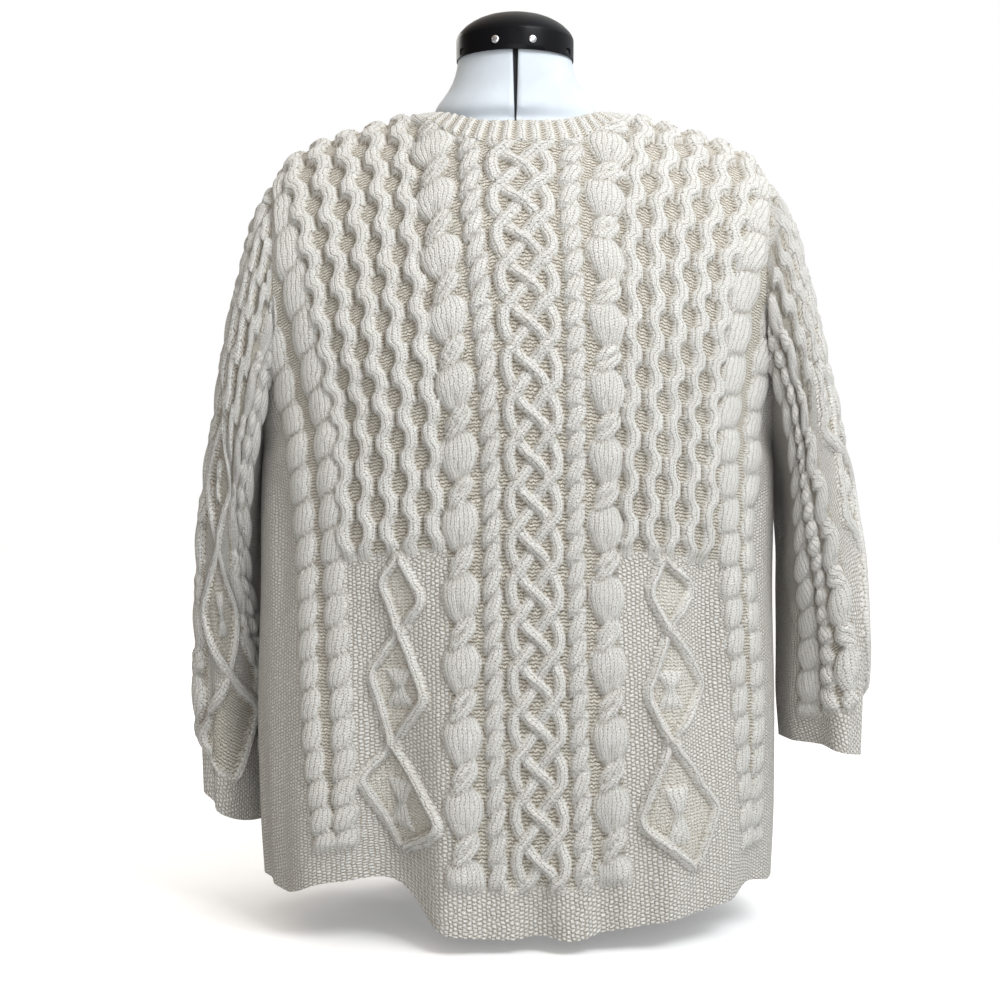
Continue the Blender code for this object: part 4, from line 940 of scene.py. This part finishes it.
# The moss stitch takes painted paler light.
yarn_and_painted_light = blend_colour(tree, calc(tree, "MULTIPLY", masks["Moss"], 0.7), yarn_and_painted_light, WOOL_MOSS_LIT)
# The colour of the painted shade, greyer on the moss stitch.
depth = blend_colour(tree, calc(tree, "MULTIPLY", masks["Moss"], 0.6), WOOL_SHADED, WOOL_MOSS_SHADE)
feed(tree, shader, Base_Color=blend_colour(tree, gap_shade_and_speckle, yarn_and_painted_light, depth),
     Normal=bump(tree, stitches["Height"], 0.0017, 1.0))


def lay_panel(panel, row_count):
    """The ground, normals, cables and their rise on one panel of the body."""
    wide = np.linspace(FINE_REACH, PANEL_HALF, WIDE_COLUMNS + 1)[1:]
    right = np.concatenate([np.linspace(0, FINE_REACH, FINE_COLUMNS + 1), wide])
    lines = np.concatenate([-right[:0:-1], right])[None, :]
    rows = np.arange(row_count + 1)[:, None] / row_count
    top = panel.top_share(lines)
    share = top + (1 - top) * rows
    down = share * PANEL_LENGTH
    half = panel.half(share)
    room = (half - COMB_STOP) / (PANEL_HALF - COMB_STOP)
    size = np.abs(lines)
    across = np.where(size > COMB_STOP, COMB_STOP + (size - COMB_STOP) * room, size) * np.sign(lines)
    ground, normals = panel.read(across, share)
    drift = curve(DRIFT, down)[0] * (1 - (across / half) ** 2)
    relief = knit_panel(Relief(across - drift, down))
    edge = ramp(half - np.abs(across), 0.0, 0.006) * ramp(rows * PANEL_LENGTH, 0.0, 0.004)
    edge = edge * ramp(1 - rows, 0.0, 0.006)
    return ground, unit(normals), relief, relief.rise * CABLE_RISE * edge


back_panel = Panel(BACK_ROWS, BACK_FOLDS, -1, BACK_NECK)
back = knit_shell("back_knit", *lay_panel(back_panel, BACK_FINE_ROWS), False)
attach(back, "root")
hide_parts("back")

# ---------------------------------------------------------------- front
# The front panel, knitted and blocked like the back with a lower neck, and joined to it along the
# shoulders and below the armholes.
FRONT_FINE_ROWS = 256
FRONT_ROWS = {
    **BACK_ROWS,
    "mid_y": (0, 0.036, 0.073, 0.103, 0.127, 0.139, 0.143, 0.141, 0.141, 0.143),
    "mid_z": (0.689, 0.681, 0.648, 0.6, 0.537, 0.479, 0.422, 0.308, 0.16, 0.012),
}
FRONT_FOLDS = (
    (-0.130, -0.006, 0.042, 0.40, 0.76, 1.5, -0.021, 0.010),
    (-0.070, 0, 0.030, 0.46, 0.76, 1.5, 0.007, 0),
    (0.100, 0.010, 0.042, 0.36, 0.76, 1.5, -0.023, 0.012),
    (0.160, 0, 0.030, 0.44, 0.76, 1.5, 0.008, 0),
    (0.010, -0.006, 0.030, 0.52, 0.76, 1.5, -0.010, 0.002),
    (-0.205, 0, 0.032, 0.52, 0.76, 1.5, -0.007, 0.004),
    (-0.140, 0.022, 0.022, 0.19, 0.30, 0.44, -0.003, 0),
    (0.145, -0.020, 0.022, 0.19, 0.32, 0.46, -0.003, 0),
    (0.220, -0.010, 0.018, 0.33, 0.40, 0.56, -0.004, 0),
    (-0.222, 0.012, 0.018, 0.33, 0.40, 0.54, -0.004, 0),
    (0.050, 0.008, 0.018, 0.54, 0.70, 1.5, -0.003, 0),
    (0.235, 0.006, 0.020, 0.50, 0.70, 1.5, -0.004, 0),
)
FRONT_NECK = (0.203, 0.168)

front_panel = Panel(FRONT_ROWS, FRONT_FOLDS, 1, FRONT_NECK)
front = knit_shell("front_knit", *lay_panel(front_panel, FRONT_FINE_ROWS), False)
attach(front, "root")
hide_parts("front")

# ---------------------------------------------------------------- sleeves
# Two sleeves, each knitted flat with its own honeycomb, diamonds and cables, seamed into a tube and
# sewn into its armhole. They hang empty beside the body and end in a moss stitch cuff.
SLEEVE_LENGTH = 0.480
SLEEVE_COLUMNS = 264
SLEEVE_ROWS = 180
CUFF_BAND = 0.030
# Cables, as distances from the sleeve's middle line. Where a value has a side, 1 is the right one.
SLEEVE_COMB = 0.0425      # half width of the honeycomb
SLEEVE_COMB_CORDS = 3
SLEEVE_COMB_END = 0.165
SLEEVE_DIAMOND_WIDTH = {1: 0.024, -1: 0.042}
SLEEVE_LEAN = {1: 0.0, -1: 0.8}   # how steeply the rows of its diamonds rise to the back
SLEEVE_DIAMOND_REPEAT = 0.0975
SLEEVE_CORD_HALF = 0.0060
SLEEVE_BOW_TIE_TALL = 0.017
SLEEVE_EGG_AT = 0.0580
SLEEVE_ROPE_AT = 0.0815
SLEEVE_ROPE = (ROPE_REACH * 1.3, ROPE_HALF * 1.3)
SLEEVE_OVALS_AT = 0.1060
SLEEVE_OVALS = (0.0030, 0.0135, 0.0372, 0.0105, 1.0, 1.30)   # as lay_twist takes them
SLEEVE_MOSS = (0.1185, 0.1215)
# How far the middle line of each sleeve's cables has swung to the back as the sleeve hangs.
SWING = {
    "down": (0, 0.07, 0.14, 0.25, 0.34, 0.42, 0.48),
    "right": (0.08, 0.093, 0.1, 0.101, 0.09, 0.073, 0.052),
    "left": (0.09, 0.108, 0.118, 0.106, 0.083, 0.05, 0.028),
}
# Rings. mid_x, mid_y: middle; half_x, half_y: half widths; outer_z, inner_z: height of its outer
# and inner lines; yaw: in degrees; turned: how far its pattern is turned to the back.
RIGHT_RINGS = {
    "down": (0, 0.12, 0.25, 0.4, 0.55, 0.7, 0.85, 1),
    "mid_x": (0.2133, 0.2245, 0.2315, 0.239, 0.246, 0.2535, 0.259, 0.2575),
    "mid_y": (0, 0, 0.002, 0.003, 0.004, 0.006, 0.008, 0.01),
    "half_x": (-0.004, 0.0015, 0.007, 0.014, 0.0215, 0.029, 0.0345, 0.031),
    "half_y": (0.07, 0.08, 0.084, 0.084, 0.082, 0.077, 0.073, 0.068),
    "outer_z": (0.62, 0.588, 0.545, 0.487, 0.422, 0.345, 0.25, 0.137),
    "inner_z": (0.38, 0.356, 0.334, 0.304, 0.27, 0.237, 0.196, 0.149),
    "yaw": (0, 0, 0, 0, 2, 4, 6, 8),
    "turned": (0, 0, 0, -0.012, -0.026, -0.038, -0.046, -0.05),
}
LEFT_RINGS = {
    "down": RIGHT_RINGS["down"],
    "mid_x": (-0.207, -0.216, -0.221, -0.2285, -0.2345, -0.239, -0.2395, -0.239),
    "mid_y": (0, 0.002, 0.006, 0.014, 0.026, 0.038, 0.048, 0.056),
    "half_x": (-0.006, 0, 0.004, 0.007, 0.013, 0.0195, 0.022, 0.0205),
    "half_y": (0.07, 0.08, 0.084, 0.083, 0.08, 0.076, 0.072, 0.068),
    "outer_z": (0.62, 0.585, 0.54, 0.478, 0.406, 0.316, 0.215, 0.11),
    "inner_z": (0.38, 0.35, 0.323, 0.286, 0.245, 0.2, 0.146, 0.072),
    "yaw": (0, 0, -3, -6, -9, -12, -14, -15),
    "turned": (0, 0, 0.006, 0.02, 0.04, 0.058, 0.068, 0.07),
}
# Folds: share of the way round from the outer line by the back, half width as a share, the shares
# down where it starts and is deepest, and its depth outwards.
RIGHT_SLEEVE_FOLDS = (
    (0.335, 0.095, 0.52, 0.85, -0.010), (0.62, 0.090, 0.30, 0.70, -0.008),
    (0.200, 0.050, 0.60, 0.90, -0.0030), (0.820, 0.060, 0.40, 0.75, -0.0035),
)
LEFT_SLEEVE_FOLDS = (
    (0.250, 0.070, 0.66, 0.88, -0.007), (0.70, 0.090, 0.35, 0.75, -0.008),
    (0.120, 0.050, 0.30, 0.60, -0.0030), (0.850, 0.060, 0.40, 0.75, -0.0035),
)
RING_SIDES = 360
ARMHOLE_STEPS = 96        # from the shoulder to the underarm


def loop_shares(points):
    """How far round a loop each point lies, as a share, and its girth."""
    closed = np.concatenate([points, points[:1]])
    run = np.concatenate([[0], np.cumsum(np.linalg.norm(np.diff(closed, axis=0), axis=1))])
    return run[:-1] / run[-1], run[-1]


def read_loop(points, shares, own=None):
    """Points at shares of the way round a loop, by its own shares or by another loop's."""
    closed = np.concatenate([points, points[:1]])
    at = np.append(loop_shares(points)[0] if own is None else own, 1.0)
    return np.stack([np.interp(shares % 1, at, closed[:, k]) for k in range(3)], axis=-1)


def ring_loop(rings, side, down):
    """A flattened ring from its outer point towards the back, and how far its pattern is turned."""
    mid_x, mid_y, half_x, half_y, outer_z, inner_z, yaw, turned = map(float, curve(rings, down))
    angle = np.linspace(0, math.tau, RING_SIDES, endpoint=False)
    cosine, sine = math.cos(math.radians(yaw)), math.sin(math.radians(yaw))
    thick, wide = side * half_x * np.cos(angle), -half_y * np.sin(angle)
    return np.stack([
        mid_x + thick * cosine - wide * sine, mid_y + thick * sine + wide * cosine,
        (outer_z + inner_z) / 2 + (outer_z - inner_z) / 2 * np.cos(angle)], axis=-1), turned


def armhole(side):
    """The armhole of both panels: from the shoulder down the back to the underarm and up the front."""
    share = np.linspace(0, UNDERARM, ARMHOLE_STEPS + 1)
    halves = [panel.read(panel.half(share) * side, share) for panel in (back_panel, front_panel)]
    loop, normals = [np.concatenate([down[:-1], up[::-1][:-1]]) for down, up in zip(*halves)]
    loop[0, 1] = loop[ARMHOLE_STEPS, 1] = 0
    return loop, unit(normals)


def knit_sleeve(relief, side):
    """A sleeve's cables, either side of its middle line, down to the cuff."""
    across, down = relief.across, relief.down
    lay_comb(relief, across + SLEEVE_COMB, 2 * SLEEVE_COMB, SLEEVE_COMB_END, SLEEVE_COMB_CORDS)
    relief.down = down + SLEEVE_LEAN[side] * np.clip(across, -SLEEVE_COMB, SLEEVE_COMB)
    part = math.pi * (relief.down - SLEEVE_COMB_END) / SLEEVE_DIAMOND_REPEAT
    swing = SLEEVE_DIAMOND_WIDTH[side] * np.arcsin(0.97 * np.sin(part)) / math.asin(0.97)
    below = ramp(down, SLEEVE_COMB_END - 0.004, SLEEVE_COMB_END + 0.010)
    nearest = np.abs(np.cos(part)) ** 6
    relief.lay_cord(swing, (0.86 + 0.18 * nearest) * below, SLEEVE_CORD_HALF)
    relief.lay_cord(-swing, (0.86 - 0.24 * nearest) * below, SLEEVE_CORD_HALF)
    for number in (0.5, 1.5):
        lay_bow_tie(relief, 0.0, SLEEVE_COMB_END + SLEEVE_DIAMOND_REPEAT * number, SLEEVE_BOW_TIE_TALL)
    relief.down = down
    within = (np.abs(across) < np.abs(swing)) & (below > 0.5)
    moss = ((np.abs(across) < SLEEVE_COMB) & (down > SLEEVE_COMB_END) & ~within) * 1.0
    for way in (-1, 1):
        lay_eggs(relief, way * SLEEVE_EGG_AT)
        lay_twist(relief, way * SLEEVE_ROPE_AT, *SLEEVE_ROPE, ROPE_REPEAT, 0.004 * way, 1.1)
        lay_twist(relief, way * SLEEVE_OVALS_AT, *SLEEVE_OVALS)
        moss = np.maximum(moss, ramp(across * way, *SLEEVE_MOSS))
    band = ramp(down, SLEEVE_LENGTH - CUFF_BAND - 0.006, SLEEVE_LENGTH - CUFF_BAND + 0.004)
    return finish_edge(relief, moss, band)


def sleeve_slopes(ground, side):
    across = np.roll(ground, -1, axis=1) - np.roll(ground, 1, axis=1)
    return unit(np.cross(np.gradient(ground, axis=0), across)) * -side


def make_sleeve(rings, folds, swung, side):
    """A sleeve's ground, normals, cables and their rise. Its first ring is the armhole."""
    loop, loop_normals = armhole(side)
    first = ring_loop(rings, side, 0.0)[0]
    rows = np.arange(SLEEVE_ROWS + 1) / SLEEVE_ROWS
    step = np.arange(SLEEVE_COLUMNS) / SLEEVE_COLUMNS - 0.5
    ground = np.zeros((SLEEVE_ROWS + 1, SLEEVE_COLUMNS, 3))
    dent = np.zeros(ground.shape[:2])
    girth = np.zeros((SLEEVE_ROWS + 1, 1))
    for i, down in enumerate(rows):
        family, turned = ring_loop(rings, side, down)
        girth[i] = loop_shares(family)[1]
        shares = step + turned / girth[i]
        fit = read_loop(loop, shares) - read_loop(first, shares)
        ground[i] = read_loop(family, shares) + fit * (1 - ramp(down, 0, 0.36))
        for at, width, start, full, depth in folds:
            near = np.clip(np.abs((shares - at + 0.5) % 1 - 0.5) / width, 0, 1)
            dent[i] += depth * (1 - near * near) ** 2 * ramp(down, start, full)
    across = step * girth
    down = rows[:, None] * SLEEVE_LENGTH + 0 * across
    uneven = np.sin(34 * across + 2.0 * np.sin(11 * down)) * np.sin(25 * down + 1.4 * np.sin(15 * across))
    dent = dent + PLAIN_CREASE * uneven * ramp(down, 0.01, 0.05)
    ground = ground + sleeve_slopes(ground, side) * dent[..., None]
    near = 1 - ramp(down, 0.0, 0.02)[..., None]
    normals = unit(sleeve_slopes(ground, side) * (1 - near) + unit(read_loop(loop_normals, step)) * near)
    swing = smooth(down, SWING["down"], SWING[swung])
    place = (across - swing + girth / 2) % girth - girth / 2
    relief = knit_sleeve(Relief(place, down), side)
    relief.girth_wales = girth[:, 0] / WALE
    relief.rise = relief.rise * ramp(girth / 2 - np.abs(place), 0.0, 0.005)
    edge = ramp(down, 0.0, 0.008) * ramp(SLEEVE_LENGTH - down, 0.0, 0.004)
    ground[0, :, 0] += side * SEAM_GAP
    return ground, normals, relief, relief.rise * CABLE_RISE * edge


for name, rings, folds, side in (
    ("right", RIGHT_RINGS, RIGHT_SLEEVE_FOLDS, 1), ("left", LEFT_RINGS, LEFT_SLEEVE_FOLDS, -1),
):
    sleeve = knit_shell("sleeve_" + name + "_knit", *make_sleeve(rings, folds, name, side), True)
    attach(sleeve, "root")
    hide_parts("sleeve_" + name)

# ---------------------------------------------------------------- neckband
# A narrow ribbed band picked up round the neck edge of both panels and cast off loosely, so that it
# stands in close to the form's neck.
BAND_CORNER = 0.060
BAND_WIDTH = 0.026
BAND_RIB = 0.0120         # width of one rib with its groove
BAND_RISE = 0.0026
BAND_GAP = 0.0006
BAND_ROWS = 16
BAND_STEPS = 12           # columns to one rib


def band_half(panel, places):
    """Half of the band from its seam to its free edge, and the normals there."""
    free_at = places * BAND_CORNER / NECK_CORNER
    seam, seam_normal = panel.read(places, panel.top_share(places))
    free, free_normal = panel.read(free_at, panel.top_share(free_at, 1, BAND_CORNER))
    seam = seam + unit(free - seam) * BAND_GAP
    part = (np.arange(BAND_ROWS + 1) / BAND_ROWS)[:, None, None]
    return seam * (1 - part) + free * part, unit(unit(seam_normal) * (1 - part) + unit(free_normal) * part)


even = np.linspace(-NECK_CORNER, NECK_CORNER, 401)
halves = [band_half(back_panel, even), band_half(front_panel, even)]
rough = [np.concatenate([one[:, :-1], other[:, ::-1][:, :-1]], axis=1) for one, other in zip(*halves)]
seam_shares, seam_length = loop_shares(rough[0][0])
rib_count = int(round(seam_length / BAND_RIB / 2)) * 2
share = np.arange(rib_count * BAND_STEPS) / (rib_count * BAND_STEPS)
ground, normals = [np.array([read_loop(row, share, seam_shares) for row in rows]) for rows in rough]
down = np.linspace(0, BAND_WIDTH, BAND_ROWS + 1)[:, None] + 0 * share
ribs = share * rib_count + 0 * down
relief = Relief(share * seam_length + 0 * down, down)
rib = 0.5 - 0.5 * np.cos(math.tau * ribs)
relief.lay(rib**0.8, ribs * 2.0)
relief.purl = 1 - ramp(rib, 0.20, 0.45)
relief.girth_wales = np.full(BAND_ROWS + 1, rib_count * 2.0)
edge = ramp(down, 0.0, 0.003) * (1 - 0.4 * ramp(down, BAND_WIDTH - 0.005, BAND_WIDTH))
band = knit_shell("neckband_knit", ground, unit(normals), relief, relief.rise * BAND_RISE * edge, True)
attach(band, "root")
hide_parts("neckband")

# ---------------------------------------------------------------- floor, light and camera
# A plain white floor that runs to the horizon under even soft light, and a level camera behind the
# sweater's back.
FLOOR_COLOUR = (0.92, 0.92, 0.92, 1.0)
FLOOR_SHADED = (0.90, 0.90, 0.90, 1.0)
FLOOR_BOUNCE = (0.36, 0.375, 0.39, 1.0)   # what it throws back, unseen
FLOOR_SIZE = 12.0
SKY_WARM = (1.0, 0.79, 0.58, 1.0)         # low on the left
SKY_COOL = (0.97, 0.99, 1.0, 1.0)
WHITE = (1.0, 1.0, 1.0, 1.0)
FOCAL_LENGTH = 63.54
CAMERA_PLACE = (-0.01275, -1.5, 0.350)
# Lamps: place, what it is aimed at, size, power and colour.
LAMPS = {
    "window": ((0.75, -1.1, 1.5), (0.02, 0.0, 0.62), 0.8, 5.4, (0.94, 0.96, 0.98)),
    "front_fill": ((0.15, -2.4, 0.50), (0.05, 0.0, 0.42), 1.2, 18.0, (0.96, 0.98, 1.0)),
    "far_side": ((-1.4, 2.2, 1.3), (0.0, 0.1, 0.40), 1.2, 14.0, (1.0, 0.98, 0.94)),
}
WINDOW_SPREAD = 80                        # degrees


def camera_ray(tree):
    return node(tree, "ShaderNodeLightPath").outputs["Is Camera Ray"]


def stand(name, data, place):
    made = bpy.data.objects.new(name, data)
    made.location = place
    bpy.context.scene.collection.objects.link(made)
    return made


floor_paint, tree, shader = new_finish("white_floor", 0.9, Emission_Color=WHITE, Emission_Strength=0.22)
grain = use_group(tree, "fine_grain", Size=0.02)
seen = blend_colour(tree, grain["Mask"], FLOOR_COLOUR, FLOOR_SHADED)
feed(tree, shader, Base_Color=blend_colour(tree, camera_ray(tree), FLOOR_BOUNCE, seen))
shape = bmesh.new()
bmesh.ops.create_grid(shape, x_segments=8, y_segments=8, size=FLOOR_SIZE)
finish_shape(shape, "floor", floor_paint)

world = bpy.data.worlds.new("soft_daylight")
bpy.context.scene.world = world
world.use_nodes = True
tree = world.node_tree
way = split(tree, node(tree, "ShaderNodeTexCoord").outputs["Generated"])
above = spread(tree, way["Z"], -0.1, 0.9, 0.34, 1.48)
beside = spread(tree, way["X"], -0.9, 0.9, 0.24, 1.35)
tone = blend_colour(tree, spread(tree, way["X"], -0.9, 0.3), SKY_WARM, SKY_COOL)
seen = camera_ray(tree)
feed(tree, tree.nodes["Background"].inputs, Color=blend_colour(tree, seen, tone, WHITE),
     Strength=calc(tree, "MAXIMUM", calc(tree, "MULTIPLY", above, beside), seen))

for name, (place, target, size, power, colour) in LAMPS.items():
    lamp = bpy.data.lights.new(name, "AREA")
    lamp.shape = "RECTANGLE"
    lamp.size = lamp.size_y = size
    lamp.energy = power
    lamp.color = colour
    aim = mathutils.Vector(target) - mathutils.Vector(place)
    stand(name, lamp, place).rotation_euler = aim.to_track_quat("-Z", "Y").to_euler()
bpy.data.lights["window"].spread = math.radians(WINDOW_SPREAD)

lens = bpy.data.cameras.new("camera")
lens.lens = FOCAL_LENGTH
lens.sensor_width = 36.0
camera = stand("camera", lens, CAMERA_PLACE)
camera.rotation_euler = (math.pi / 2, 0.0, 0.0)
bpy.context.scene.camera = camera
bpy.context.scene.view_settings.view_transform = "Standard"
